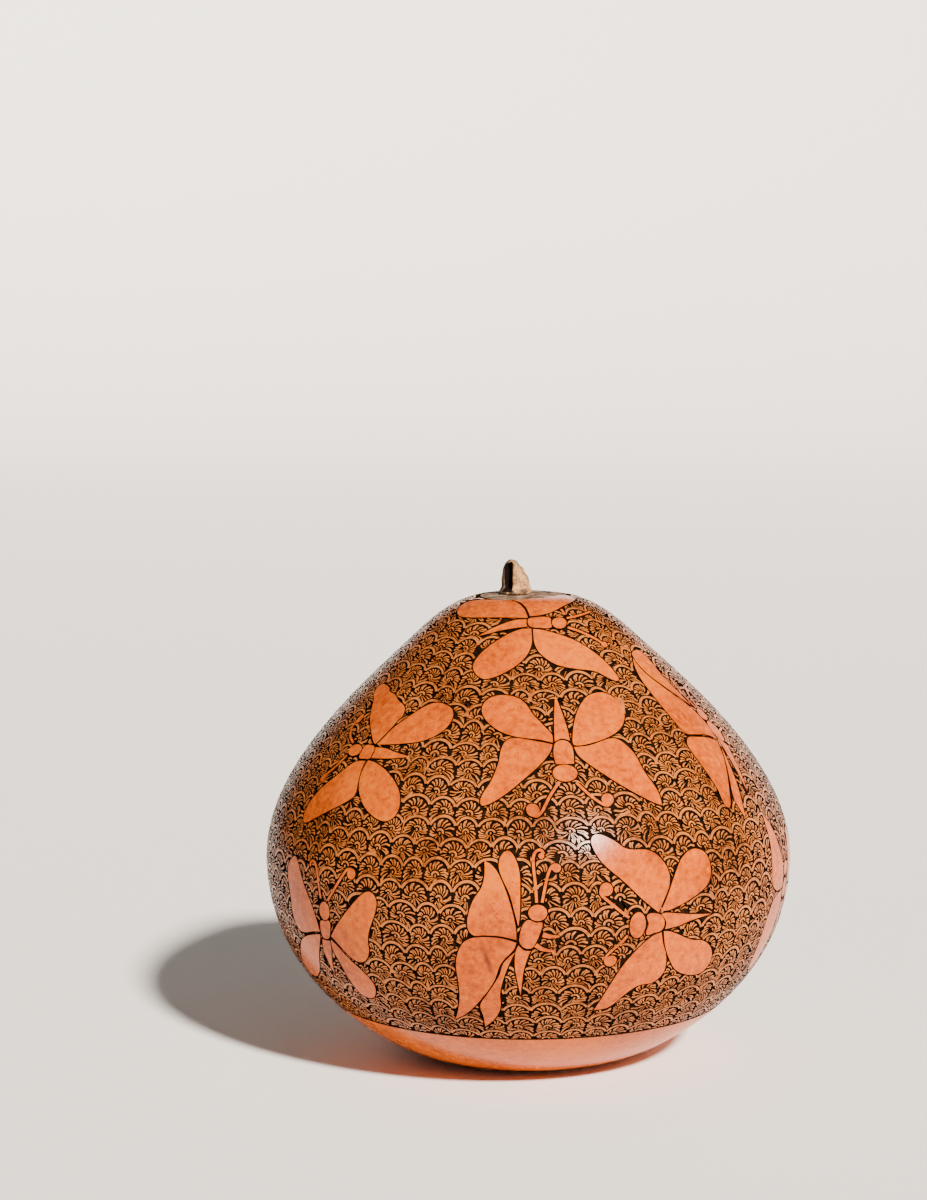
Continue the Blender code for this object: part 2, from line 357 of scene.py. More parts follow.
# %% Finish a piece
def make_piece(name, bm, finishes, body="gourd", sharp=40.0):
    """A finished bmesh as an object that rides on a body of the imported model."""
    mesh = bpy.data.meshes.new(name)
    bm.to_mesh(mesh)
    bm.free()
    for finish in finishes:
        mesh.materials.append(finish)
    mesh.shade_smooth()
    mesh.set_sharp_from_angle(angle=math.radians(sharp))
    piece = bpy.data.objects.new(name, mesh)
    bpy.context.scene.collection.objects.link(piece)
    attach(piece, body)
    return piece


# %% [markdown]
# The body is one wall, as round as if it were turned.  The gouge takes away a
# third of a millimetre between the raw ring at the crown and a plain band at the
# base, so the wall's outer line steps in over that stretch and the carving
# stands on it later.  Two helpers do it: one sets points of the outline in from
# the skin, and one spins them.

# %% Sizes and tools for the wall
WALL = 3.5 * MM
CUT_DEPTH = 0.35 * MM
RAW_DEPTH = 0.10 * MM           # the raw crown skin lies just under the burnished level
CROWN_EDGE = 8.6 * MM           # walked distance from the crown to the carving
BASE_EDGE = float(np.interp(-12.2 * MM, -HEIGHT, WALKED))
STEP = 0.2 * MM                 # the gouge leaves a short slope at each edge
AROUND = 240


def offset_points(start, end, count, depth_start, depth_end):
    """Points of the wall's outline, set in from the skin by a depth."""
    points = []
    for share in np.linspace(0.0, 1.0, count):
        walked = start + share * (end - start)
        depth = depth_start + share * (depth_end - depth_start)
        radius = float(radius_at(walked)) - depth * float(np.interp(walked, WALKED, OUT_R))
        height = float(np.interp(walked, WALKED, HEIGHT))
        height -= depth * float(np.interp(walked, WALKED, OUT_Z))
        points.append((max(radius, 0.0), 0.0, height))
    return points


def turn(bm, points, finish):
    """Spin one stretch of the outline and give its new faces their finish."""
    before = len(bm.faces)
    chain = [bm.verts.new(point) for point in points]
    edges = [bm.edges.new(pair) for pair in zip(chain, chain[1:])]
    bmesh.ops.spin(bm, geom=chain + edges, cent=(0, 0, 0), axis=(0, 0, 1),
                   angle=2 * math.pi, steps=AROUND, use_merge=True, use_duplicate=False)
    bm.faces.ensure_lookup_table()
    for face in bm.faces[before:]:
        face.material_index = finish


END = float(WALKED[-1])
print("carving from", CROWN_EDGE / MM, "to", round(BASE_EDGE / MM, 1), "mm down from the crown")

# %% [markdown]
# Each stretch is spun on its own to carry its own finish, and merging the
# doubles closes them into one wall.  The inside is spun as a shell of its own,
# so its faces are turned to look into the chamber.  The raw crown skin puckers
# in folds around the stem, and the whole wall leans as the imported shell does.

# %% Turn the wall
FOLD_DEPTH = 0.22 * MM
bm = bmesh.new()
turn(bm, offset_points(0.0, CROWN_EDGE, 24, RAW_DEPTH, RAW_DEPTH), 0)
turn(bm, offset_points(CROWN_EDGE, CROWN_EDGE + STEP, 2, RAW_DEPTH, CUT_DEPTH), 1)
turn(bm, offset_points(CROWN_EDGE + STEP, BASE_EDGE - STEP, 90, CUT_DEPTH, CUT_DEPTH), 1)
turn(bm, offset_points(BASE_EDGE - STEP, BASE_EDGE, 2, CUT_DEPTH, 0.0), 1)
turn(bm, offset_points(BASE_EDGE, END, 26, 0.0, 0.0), 2)
turn(bm, offset_points(0.0, END, 60, WALL, WALL), 3)
bmesh.ops.remove_doubles(bm, verts=bm.verts, dist=0.002 * MM)
bmesh.ops.recalc_face_normals(bm, faces=[f for f in bm.faces if f.material_index < 3])
inner = [f for f in bm.faces if f.material_index == 3]
bmesh.ops.recalc_face_normals(bm, faces=inner)
bmesh.ops.reverse_faces(bm, faces=inner)
for vert in bm.verts:
    distance = math.hypot(vert.co.x, vert.co.y)
    if vert.co.z > shell_high.z - 2 * MM and distance < CROWN_EDGE:
        folds = noise.fractal(vert.co * 420.0, 1.0, 2.0, 3) * FOLD_DEPTH
        vert.co.z += folds * min(1.0, (CROWN_EDGE - distance) / (1.5 * MM))
    vert.co.x += float(np.interp(vert.co.z, LEAN_HEIGHTS, LEANS))
print("body", len(bm.faces), "faces")

# %% [markdown]
# The stem's root goes right through the crown into the chamber, with a third of
# a millimetre around it.  A round drill cut from the wall by a boolean leaves a
# clean hole, and the modifier's result is kept as the mesh.

# %% Cut the stem's socket
ROOT_PLAY = 0.3 * MM
stem_x = (stem_low.x + stem_high.x) / 2
COLLAR_LIP = 0.5 * MM
collar_radius = (stem_high.y - stem_low.y) / 2
root_radius = collar_radius - COLLAR_LIP
socket_radius = root_radius + ROOT_PLAY
body_piece = make_piece("gourd_body", bm, (raw_skin, soot, band_skin, pith_wall))
drill = bmesh.new()
bmesh.ops.create_cone(drill, cap_ends=True, segments=40, radius1=socket_radius,
                      radius2=socket_radius, depth=20 * MM,
                      matrix=Matrix.Translation((stem_x, 0.0, shell_high.z)))
drill_mesh = bpy.data.meshes.new("drill")
drill.to_mesh(drill_mesh)
drill.free()
drill_object = bpy.data.objects.new("drill", drill_mesh)
bpy.context.scene.collection.objects.link(drill_object)
cut = body_piece.modifiers.new("socket", "BOOLEAN")
cut.solver = "EXACT"
cut.object = drill_object
bpy.context.view_layer.update()
drilled = bpy.data.meshes.new_from_object(
    body_piece.evaluated_get(bpy.context.evaluated_depsgraph_get()))
body_piece.modifiers.clear()
body_piece.data = drilled
bpy.data.objects.remove(drill_object)
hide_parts("gourd_shell")
print("socket", round(2 * socket_radius / MM, 2), "mm wide")

# %% [markdown]
# The carver covers the gourd in fish scales.  Each scale is an arched ridge, and
# under it a swirl of leaf strokes around a small hook.  All of them are skin
# left standing between gouge cuts, so each is a low island with sloping sides.
# A ridge or a hook is spun from a four-sided section.  A leaf is a disc pulled
# long, bent a little, and inset as it rises, which slopes its sides.

# %% Bars and leaves
SCALE_WIDTH = 5.0 * MM
ROW_PITCH = 4.1 * MM
ARCH_RISE = 1.55 * MM
ARCH_RADIUS = ((SCALE_WIDTH / 2) ** 2 + ARCH_RISE ** 2) / (2 * ARCH_RISE)
ARCH_CENTRE = Vector((0.0, ARCH_RISE - ARCH_RADIUS, 0.0))
RIDGE = 0.47 * MM
GROOVE = 0.24 * MM
HALF_SWEEP = math.radians(69.0)
RIDGE_STEPS = 12
BANK = 0.04 * MM                # how far an island's side slopes out
FOOT = -0.42 * MM               # islands are rooted below the cut ground
LOWER_TOP = -0.03 * MM          # petals are worn slightly lower than ridges
HAIR = 0.006 * MM
PETALS_AROUND = 17


def spin_bar(bm, centre, inner, outer, start, sweep, steps, top):
    """A curved bar with sloping sides: a section spun about a centre."""
    spots = ((inner - BANK, FOOT), (outer + BANK, FOOT), (outer, top), (inner, top))
    aim = Vector((math.cos(start), math.sin(start), 0.0))
    section = [bm.verts.new(centre + aim * reach + Vector((0, 0, z))) for reach, z in spots]
    face = bm.faces.new(section)
    bmesh.ops.spin(bm, geom=[face] + face.edges[:] + section, cent=centre, axis=(0, 0, 1),
                   angle=sweep, steps=steps, use_duplicate=False)


def raise_island(bm, face, top, bank=BANK):
    """Raise a flat face on sloping sides and close it underneath."""
    bmesh.ops.duplicate(bm, geom=[face])
    bmesh.ops.inset_region(bm, faces=[face], thickness=bank, depth=top - FOOT,
                           use_boundary=True, use_even_offset=True)


def petal(bm, place, near, far, near_width, far_width, top, bend=0.0):
    """A stroke with round ends along +Y of its place, from near to far, bent sideways."""
    before = len(bm.faces)
    rim = bmesh.ops.create_circle(bm, cap_ends=True, segments=10, radius=0.5,
                                  matrix=Matrix.Rotation(math.pi / 10, 4, "Z"))["verts"]
    for vert in rim:
        end = 0 if abs(vert.co.y) < 0.1 else math.copysign(1, vert.co.y)
        share = 0.5 + 0.5 * end
        width = near_width + (far_width - near_width) * share + 2 * BANK
        vert.co = Vector((vert.co.x * width * 1.08 + (0.0 if end else bend),
                          near + (far - near) * share - end * width / 2 + vert.co.y * width,
                          FOOT))
    bmesh.ops.transform(bm, matrix=place, verts=rim)
    bm.faces.ensure_lookup_table()
    raise_island(bm, bm.faces[before], top)


print("arches of radius", round(ARCH_RADIUS / MM, 2), "mm")

# %% [markdown]
# Leaves start around a root near the scale's foot and reach out until they meet
# the ridge or the scale's side, less a groove.  They all lean one way, which
# makes the swirl, and lower down there is room for one more between two leaves.
# Angles, lengths and the hook are drawn from a seeded generator, so the scales
# differ as handwork does but come out the same in each run.


# %% One scale, drawn flat
def room(root, aim):
    """How far a petal may reach from the root before it meets its scale's edge."""
    side = SCALE_WIDTH / 2 - 0.13 * MM
    if abs(aim.x) > 0.01:
        to_side = (math.copysign(side, aim.x) - root.x) / aim.x
        if root.y + aim.y * to_side < -0.85 * MM:
            return min(to_side, 3.0 * MM)
    elif aim.y < 0:
        return 3.0 * MM
    away = root - ARCH_CENTRE
    reach = ARCH_RADIUS - RIDGE - GROOVE
    along = away.dot(aim)
    return -along + math.sqrt(max(along ** 2 - away.length_squared + reach ** 2, 0.0))


def make_scale(rng):
    """One flat scale: a ridge, a ring of petals and a hook, with its cusps on y = 0."""
    bm = bmesh.new()
    spin_bar(bm, ARCH_CENTRE, ARCH_RADIUS - RIDGE, ARCH_RADIUS,
             math.pi / 2 - HALF_SWEEP, 2 * HALF_SWEEP, RIDGE_STEPS, 0.0)
    for side in (-1, 1):
        whole = bm.verts[:] + bm.edges[:] + bm.faces[:]
        bmesh.ops.bisect_plane(bm, geom=whole, dist=0.0, plane_no=(side, 0, 0), clear_outer=True,
                               plane_co=(side * (SCALE_WIDTH / 2 - HAIR), 0, 0))
    bmesh.ops.holes_fill(bm, edges=bm.edges, sides=0)
    root = Vector((rng.uniform(-0.45, 0.45), rng.uniform(-1.75, -1.3), 0.0)) * MM
    pitch = 2 * math.pi / PETALS_AROUND
    turn_by = rng.uniform(0.0, pitch)
    lean = rng.choice((-1, 1))
    swirl = math.radians(lean * rng.uniform(20.0, 44.0))
    hook_out = rng.uniform(0.80, 0.92) * MM
    for i in range(2 * PETALS_AROUND):
        angle = turn_by + pitch * i / 2 + rng.uniform(-0.05, 0.05)
        aim = Vector((math.cos(angle), math.sin(angle), 0.0))
        low, between = aim.y < -0.3, i % 2 == 1
        near = (rng.uniform(0.30, 0.55) if low else hook_out / MM + 0.20) * MM
        if between:
            near = rng.uniform(1.55, 1.8) * MM
        start = root + aim * near
        slant = Matrix.Rotation(swirl + rng.uniform(-0.18, 0.18), 3, "Z") @ aim
        far = room(start, slant) * rng.uniform(0.88, 1.0)
        if far < 0.4 * MM or (between and (not low or far < 0.55 * MM)):
            continue
        spacing = pitch / 2 if low and near + far > 1.9 * MM else pitch
        far_width = min(max(spacing * (near + far), 0.60 * MM), 0.74 * MM) - 0.30 * MM
        near_width = min(max(pitch * near - 0.26 * MM, 0.11 * MM), 0.22 * MM)
        place = (Matrix.Translation(start)
                 @ Matrix.Rotation(math.atan2(slant.y, slant.x) - math.pi / 2, 4, "Z"))
        petal(bm, place, 0.0, far, near_width, far_width, LOWER_TOP, lean * 0.13 * far)
    spin_bar(bm, root, hook_out - 0.34 * MM, hook_out, math.radians(rng.uniform(-30.0, 10.0)),
             math.radians(rng.uniform(150.0, 185.0)), 7, LOWER_TOP)
    petal(bm, Matrix.Translation(root), -0.35 * MM, 0.25 * MM, 0.2 * MM, 0.32 * MM, LOWER_TOP)
    bmesh.ops.remove_doubles(bm, verts=bm.verts, dist=0.0005 * MM)
    bmesh.ops.recalc_face_normals(bm, faces=bm.faces)
    for face in bm.faces:
        face.material_index = 0 if min(v.co.z for v in face.verts) > -0.1 * MM else 1
    return bm


# %% [markdown]
# Twelve hundred scales would be slow to draw one by one, so ten are drawn and
# kept as stamps.  Each vertex also knows which island it belongs to, because a
# stamp is trimmed island by island when it is set in its place.


# %% Ten stamps
def island_numbers(bm):
    """A number for each vertex, the same for all vertices of one island."""
    numbers = [-1] * len(bm.verts)
    bm.verts.ensure_lookup_table()
    found = 0
    for seed in bm.verts:
        if numbers[seed.index] < 0:
            reached = [seed]
            while reached:
                vert = reached.pop()
                if numbers[vert.index] < 0:
                    numbers[vert.index] = found
                    reached.extend(edge.other_vert(vert) for edge in vert.link_edges)
            found += 1
    return np.array(numbers)


rng = random.Random(7)
stamps = []
for number in range(10):
    bm = make_scale(rng)
    bm.verts.index_update()
    islands = island_numbers(bm)
    mesh = bpy.data.meshes.new(f"scale_{number}")
    bm.to_mesh(mesh)
    spots = np.empty(len(mesh.vertices) * 3)
    mesh.vertices.foreach_get("co", spots)
    stamps.append((mesh, spots.reshape(-1, 3), islands))
    print("scale", number, len(bm.faces), "faces", islands.max() + 1, "islands")
    bm.free()

# %% [markdown]
# Among the scales the carver leaves butterflies: plain burnished wings and
# bodies with a dark line around each.  A wing is a handful of points in
# millimetres from the butterfly's waist, joined by a smooth line, and a third
# value marks a corner.  Heads and the knobs of antennae are ovals, given by
# place, half width, half height and turn.  No two butterflies are alike, so the
# ones in front are each drawn, from the top row down.  These two sit just below
# the stem and on the left shoulder.

# %% Butterflies below the stem and on the left
C = "corner"
BELOW_STEM = dict(
    outlines=(
        ((-0.3, 1.4, C), (-6, 1.4), (-12.5, 0.8), (-15.6, 0.8), (-16.9, 2.2), (-15.8, 4.9),
         (-11.4, 7.0), (-6.7, 8.4), (-3.4, 8.7), (-1.9, 7.0), (-0.8, 4.5)),
        ((0.0, 1.9, C), (2.1, 2.2), (4.4, 3.0), (7.4, 4.9), (10, 6.0), (13, 7.3), (11.8, 9.4),
         (6.3, 11.0), (1.9, 10.6), (-0.8, 9.6), (-3.0, 9.1, C), (-1.4, 7.2), (-0.4, 4.6)),
        ((-0.6, 1.1, C), (-2.8, 0.8), (-5.9, -0.7), (-8, -2), (-10.8, -4, C), (-8.4, -3.2),
         (-6, -2.3), (-3, -1.5), (-0.6, -1.1, C), (-0.7, 0)),
        ((-0.2, 1.2), (2.1, 1.7), (4.0, 1.3), (4.1, -0.2), (4, -1.5), (1.8, -1.5), (-0.1, -1.1),
         (-0.5, 0.1)),
        ((0.1, -1.6, C), (-2, -1.8), (-5.1, -3.5), (-9.5, -7.3), (-12, -11), (-11.6, -13.3),
         (-9.7, -14.5), (-5.1, -12.3), (-1.6, -9), (-0.2, -6), (0.1, -3.5)),
        ((0.4, -1.7, C), (2.8, -2.2), (8.7, -5.1), (13.8, -9.6), (16.9, -14), (17.3, -15.7),
         (15.7, -15.4), (12, -13), (8, -12.1), (4.2, -10.8), (1.5, -8.3), (0.5, -6),
         (0.3, -3.5)),
    ),
    ovals=((5.8, -0.3, 1.6, 1.6, 0),),
    knobs=((15.5, -6.8, 0.9, 0.7, -30),),
    strokes=(((7.5, 0.9), (9.6, 1.2), (14.4, 2.0)), ((6.7, 3.9), (7.3, 2.0)),
             ((7.4, -1.6), (10.1, -3), (13.4, -5.1), (15.0, -6.4))),
)
LEFT_OPEN = dict(
    outlines=(
        ((0.9, 1.6, C), (0.1, 1.9), (-3, 4.6), (-5.7, 7.2), (-8, 10.4), (-10.6, 13.3),
         (-9.2, 14.8), (-6, 14.5), (-5.0, 13.7), (-2.3, 13.1), (-0.6, 12.1), (2.3, 10.8),
         (3.3, 8.8), (2.9, 7.6), (2.5, 5.8), (1.5, 2.9)),
        ((1.3, 1.5, C), (1.9, 3), (2.9, 5.7), (5.0, 9), (7.5, 12), (9.4, 12.7), (11.8, 12.2),
         (13.6, 11), (14.7, 8.6), (14.1, 5.9), (11.5, 3.7), (6.6, 2.4)),
        ((1.4, 1.0, C), (4.3, 1.1), (6.4, 0.7), (8.9, 0.3), (11, 0, C), (9.2, -0.5), (5.6, -1.1),
         (1.9, -1.5, C), (1.8, -0.2)),
        ((-1.6, 0.9), (0, 1.3), (1.2, 0.9), (1.6, -0.3), (1.5, -1.6), (0, -1.9), (-1.4, -1.9),
         (-1.8, -0.5)),
        ((0.9, -2.2, C), (-2, -2.9), (-5, -6.1), (-8.9, -10.2), (-11, -14), (-10.8, -16.6),
         (-9.6, -17.1), (-6.8, -15.8), (-2.8, -13.5), (1.2, -11), (2.5, -9.4), (1.7, -6.5),
         (1, -4)),
        ((1.4, -2, C), (1.4, -4.9), (2.8, -8.2), (6.3, -11.6), (11.2, -13.7), (13.6, -13),
         (14.1, -10.6), (12.3, -7.2), (8.1, -4), (4, -2.3)),
    ),
    ovals=((-3.9, -0.5, 2.0, 1.35, 5),),
    knobs=((-8.7, 6.2, 0.8, 1.2, -20), (-9.6, -7.6, 0.8, 1.1, -40)),
    strokes=(((-5.8, 0.9), (-8, 2.0), (-9.5, 3.8), (-9.5, 5.6)),
             ((-5.5, -1.9), (-6.9, -4.4), (-9.2, -7.0))),
)
print("outlines:", len(BELOW_STEM["outlines"]), "and", len(LEFT_OPEN["outlines"]))

# %% [markdown]
# Beside the left one, a butterfly spreads its wings with its head down.  Round
# to the right another is long and narrow, with its wings closed to one side.

# %% Butterflies in the middle and on the right
HEAD_DOWN = dict(
    outlines=(
        ((-1.8, 1.8, C), (-4.1, 2.5), (-9.3, 3.4), (-12.4, 5.1), (-14.3, 8), (-13.9, 10.6),
         (-11.5, 12.6), (-8.2, 12.8), (-6, 11.4), (-4.6, 8.4), (-2.4, 4.9), (-1.7, 3.6)),
        ((1.9, 2.0, C), (2.4, 4.7), (3.4, 7.8), (4.9, 10.6), (7, 12.6), (10.3, 12.8), (13, 10.4),
         (13.7, 7.6), (12.6, 4.8), (9.9, 2.8), (5.1, 1.3), (2.2, 1.1)),
        ((-1.9, 1.5, C), (-2.7, -0.4), (-5.2, -3.3), (-8.6, -6.3), (-12.1, -9.2), (-15.5, -11.3),
         (-16.9, -11.4), (-16.6, -9.6), (-14.4, -6.3), (-12.6, -2.4), (-11.7, 0.6), (-10.4, 2.5),
         (-8.7, 3.0), (-4.1, 2.1)),
        ((2, 0.8, C), (2.7, -1.3), (6.4, -4.9), (10.8, -8.4), (16.2, -11.9), (18.3, -12.8, C),
         (17.9, -10), (15.6, -5.6), (14.1, -1.6), (12, 1.2), (9.9, 2.3), (5, 1)),
        ((-1.6, 1.5), (-0.9, 2.2), (0.1, 2.4), (1.2, 1.9), (1.8, 0.4), (1.6, -2.9, C),
         (-1.9, -2.9, C), (-2.1, -0.8)),
        ((-1.5, 2, C), (-1.2, 5), (-0.6, 9), (0.2, 13.2, C), (0.8, 9.5), (1.4, 5), (1.5, 2.1, C),
         (0.1, 2.7)),
    ),
    ovals=((-0.4, -4.8, 2.4, 1.85, 0),),
    knobs=((-7.3, -12.3, 1.3, 1.35, 0), (7.1, -10.6, 1.25, 1.25, 0)),
    strokes=(((-1.9, -6.8), (-4.0, -9.8), (-5.5, -12.4), (-6.6, -13.5), (-7.5, -13.3)),
             ((1.4, -6.8), (3.6, -9.4), (5.7, -11.3), (7.0, -11.8), (7.9, -11.1))),
)
SIDE_ON = dict(
    outlines=(
        ((-2.0, 0, C), (-4.3, 1.3), (-8, 2.1), (-10.6, 2.9), (-10.8, 6.5), (-10.1, 12),
         (-8.8, 16.8), (-6.7, 20.2), (-5, 21.8, C), (-6.0, 18), (-4.1, 12.4), (-2, 8.6),
         (-1, 5), (-1.2, 2)),
        ((-4.4, 22.4), (-1.8, 23.3), (0, 22.6), (0, 20), (-0.9, 16.5), (-1, 12), (-0.6, 7.8, C),
         (-1.8, 9.9), (-3.6, 12.7), (-5.6, 18)),
        ((-2.3, -0.6, C), (-4.6, 0.7), (-8.1, 1.5), (-11, 1.8), (-12.9, 0), (-13.2, -4),
         (-13.3, -9.8), (-13.8, -13.2), (-12.6, -13.9), (-9.9, -10.6), (-7.1, -7.3),
         (-4.4, -4.0)),
        ((-2.1, -1.4, C), (-5.7, -6.1), (-9, -10.6), (-10, -13), (-9.2, -17, C), (-8, -14),
         (-6.0, -10), (-3.8, -5)),
        ((-1.2, 0, C), (-2.4, -4.6), (-3.8, -12.4, C), (-1.3, -7), (0.8, -2, C)),
    ),
    ovals=((0.5, 1.4, 1.7, 2.6, 0), (0.7, 5.6, 1.5, 1.5, 0)),
    knobs=((4.3, 11.6, 0.9, 0.9, 0),),
    strokes=(((0.4, 7.2), (0.2, 11), (1, 14.5), (1.8, 14.9)), ((1.2, 7.0), (2.4, 10), (4.3, 12)),
             ((2.2, 1), (5, 1.4))),
)
print("outlines:", len(HEAD_DOWN["outlines"]), "and", len(SIDE_ON["outlines"]))

# %% [markdown]
# In the lower row one butterfly has its wings spread, and the next rests with
# its wings up and its legs out.  The legs are strokes whose third value is a
# width, because they taper.

# %% Butterflies low on the left and in front
HEART_WING = dict(
    outlines=(
        ((-1.9, -0.7, C), (-4.4, -1.1), (-7.9, -2), (-10.2, -1.9), (-11.7, 0.6), (-11.7, 4.8),
         (-12.5, 8.5), (-12.4, 11), (-10.2, 13), (-8.6, 12.2), (-6, 8.4), (-3.8, 5.2),
         (-2.4, 1.9)),
        ((-2, -1.2, C), (-4.9, -1.8), (-8.2, -2.9), (-10.8, -4.4), (-13.6, -7.6), (-15.8, -11),
         (-14.4, -13.2), (-11.4, -13.2), (-7.6, -10.6), (-4.6, -6), (-2.7, -2.8)),
        ((-1.1, 1.7), (0.4, 2.0), (1.8, 2.1), (1.5, 0), (0.9, -1.3), (0, -1.9), (-1.3, -1.7),
         (-1.6, -0.5)),
        ((-1.6, -2.0, C), (-0.8, -2.2), (0.8, -2, C), (0.4, -4.2), (-0.9, -7.4), (-1.8, -10.4, C),
         (-2.2, -7.4), (-2.3, -4)),
        ((1.4, -1, C), (3.2, 1.1), (7.6, 5.6), (11.3, 9), (13.2, 9.5), (14.5, 8), (14, 5.4),
         (12.2, 1.8), (11.4, -0.6), (11.2, -2.4), (9.8, -4.6), (7.6, -5.5), (5.2, -4.4),
         (2.9, -2.2)),
        ((1.1, -1.7, C), (0.8, -3.6), (1.8, -7), (2.6, -11.3), (3.6, -13.9), (5.6, -14.6),
         (7.6, -13.7), (9.2, -10.4), (7.7, -7.6), (5, -5.1), (2.7, -2.8)),
    ),
    ovals=((0.6, 4.0, 1.55, 1.95, -20),),
    knobs=((8.1, 12.3, 1.1, 1.1, 0),),
    strokes=(((-0.2, 6.3), (-0.8, 8.8), (-1.6, 11.6), (-2.6, 13), (-3.7, 13), (-3.9, 12)),
             ((1.8, 6.2), (4, 9), (5.8, 11.5), (7.0, 13.0), (8.1, 13.2))),
)
RESTING = dict(
    outlines=(
        ((-2.7, -1.3, C), (-5.8, -0.6), (-8.7, -0.5), (-10.8, -0.6), (-11.9, 0.8), (-11.8, 3.4),
         (-10.8, 6.3), (-9.3, 8.6), (-8.7, 11), (-8.7, 13.6, C), (-7.4, 13), (-6.1, 11.4),
         (-4.5, 7.7), (-3.4, 4), (-2.8, 0.9)),
        ((-2.4, 1.2, C), (-3.1, 4), (-4.1, 7.6), (-5.4, 10.4), (-6, 12.4), (-5.7, 14.4),
         (-4.3, 15.6), (-3, 14.4), (-2.1, 11.5), (-2, 7.5), (-2.1, 3.2)),
        ((-2.7, -1.8, C), (-5.8, -0.9), (-10.8, -1), (-13, -2.4), (-14.2, -6.1), (-13.8, -10.7),
         (-13.6, -14.5), (-14.1, -19), (-14.7, -21, C), (-12.1, -18.7), (-9.3, -14.6),
         (-6.9, -10.2), (-5.6, -6.2), (-3.2, -3.2)),
        ((-2.9, -3.6, C), (-5.1, -5.9), (-6.0, -8.8), (-8.0, -12.8), (-9.6, -16.2), (-9, -19.4),
         (-8.7, -22.7, C), (-7, -20.4), (-5.7, -17), (-5.7, -12.5), (-4.6, -7.8)),
        ((-0.6, 2.7), (-1.5, 1.9), (-2.1, 0), (-2.2, -1.8), (-1.2, -2.9), (0.1, -2.9),
         (1, -1.6), (1.9, 0.8), (2.1, 2.1), (0.9, 2.2)),
        ((-2.4, -2.2, C), (-3, -4), (-3, -7.5), (-1.9, -13.8, C), (-1.4, -8), (-0.6, -4.8),
         (0, -3.4, C), (-1.3, -3.3)),
    ),
    ovals=((1.2, 4.0, 1.8, 1.6, 0),),
    knobs=((1.9, 14.6, 0.6, 0.6, 0), (4.7, 12.3, 0.9, 0.85, 0)),
    strokes=(((1, 5.9), (0.8, 9), (0.4, 13.6), (0.8, 15.3), (1.8, 15.7), (2.4, 14.9)),
             ((2, 5.9), (2.6, 9), (3.2, 11.4), (4.0, 12.8), (4.9, 12.9)),
             ((2.1, -0.2, 1.1), (3.6, -0.6, 0.9), (5.3, -0.6, 0.4)),
             ((0.8, -2.2, 1.0), (1.8, -3.0, 0.9), (3.2, -3.4, 0.7), (4.6, -3.6, 0.4))),
)
print("outlines:", len(HEART_WING["outlines"]), "and", len(RESTING["outlines"]))

# %% [markdown]
# The last two are the one with rounded wings all around it, and one at the very
# edge of the view, of which only the wings' rims show from in front.

# %% Butterflies low on the right
ALL_ROUND = dict(
    outlines=(
        ((0.7, 2, C), (-2.7, 4.8), (-6.5, 8.6), (-10, 12), (-11.5, 15), (-11.4, 17),
         (-10, 17.7), (-7.4, 16.5), (-4.9, 14.6), (-0.6, 14), (1.8, 12.2), (3.2, 9.4),
         (3.0, 6.8), (1.7, 4.2)),
        ((1.1, 2.3, C), (2.2, 4.4), (4.5, 9.1), (6.6, 12), (9.5, 13.2), (12.3, 12), (13.2, 9.2),
         (12.4, 6.4), (9, 4.3), (3.2, 2.3)),
        ((-1.7, 1.9), (0.8, 1.8), (1.8, 0.9), (2.1, -0.6), (1.4, -1.6), (0, -1.9),
         (-1.7, -2.0), (-1.4, 0)),
        ((1.2, 1.7, C), (2.4, 1.9), (7.5, 1), (13.8, 0.2, C), (8.2, -0.4), (5.4, -1.1),
         (2.2, -1.4, C), (2.4, 0)),
        ((1.6, -1.9, C), (-0.5, -2.5), (-3.8, -5.4), (-6.2, -9), (-8, -14), (-9.1, -18.6, C),
         (-6.4, -18.2), (-3.9, -15.2), (-1.6, -13.2), (1.6, -12.8), (3.5, -10.6), (3.3, -7),
         (2.2, -4.2)),
        ((2, -1.7, C), (3.7, -2), (8.7, -4.3), (11.8, -5), (14.3, -7), (15, -10), (13.2, -12.4),
         (9.9, -12.4), (6.2, -10.6), (3.9, -7.5), (2.5, -4.4)),
    ),
    ovals=((-3.6, 0, 1.7, 2.6, 0),),
    knobs=((-9.9, 7.3, 1.3, 1.3, 0), (-8.3, -6.9, 1.2, 1.2, 0)),
    strokes=(((-5.4, 1.6), (-7.1, 2.9), (-9.4, 4.9), (-11.0, 6.5), (-10.8, 7.8)),
             ((-5.5, -1.8), (-6.6, -3.1), (-8.4, -4.7), (-9.5, -6.2), (-9.1, -7.5))),
)
RIM_WINGS = dict(
    outlines=(
        ((-2.0, 0.5, C), (-5.8, 0.4), (-9, 2.4), (-9.2, 5.5), (-8.4, 11), (-7.7, 16.4, C),
         (-5.6, 13.6), (-3.6, 8.2), (-2, 4)),
        ((-2, -0.2, C), (-5.6, -0.3), (-8.2, -2), (-9.4, -7), (-8.6, -13), (-6.6, -16.5),
         (-3.9, -15.5), (-2.4, -10), (-1.6, -4)),
        ((2.0, 0.5, C), (5.8, 0.4), (9, 2.4), (9.2, 6.5), (6.6, 11), (4.6, 10.6), (3, 6)),
        ((2, -0.2, C), (5.6, -0.3), (8.2, -3), (8.4, -8), (6.6, -12), (4.2, -10), (2.6, -4)),
        ((-1.2, -2.4, C), (0, -3), (1.2, -2.4, C), (1, -6), (0, -12, C), (-1, -6)),
    ),
    ovals=((0, 0, 1.5, 2.1, 0), (0, 4, 1.5, 1.5, 0)),
    knobs=((1.2, 11, 0.9, 0.9, 0),),
    strokes=(((-0.6, 5.6), (-1.8, 9), (-1.6, 11)), ((0.6, 5.6), (2, 9), (1.8, 11))),
)
print("outlines:", len(ALL_ROUND["outlines"]), "and", len(RIM_WINGS["outlines"]))

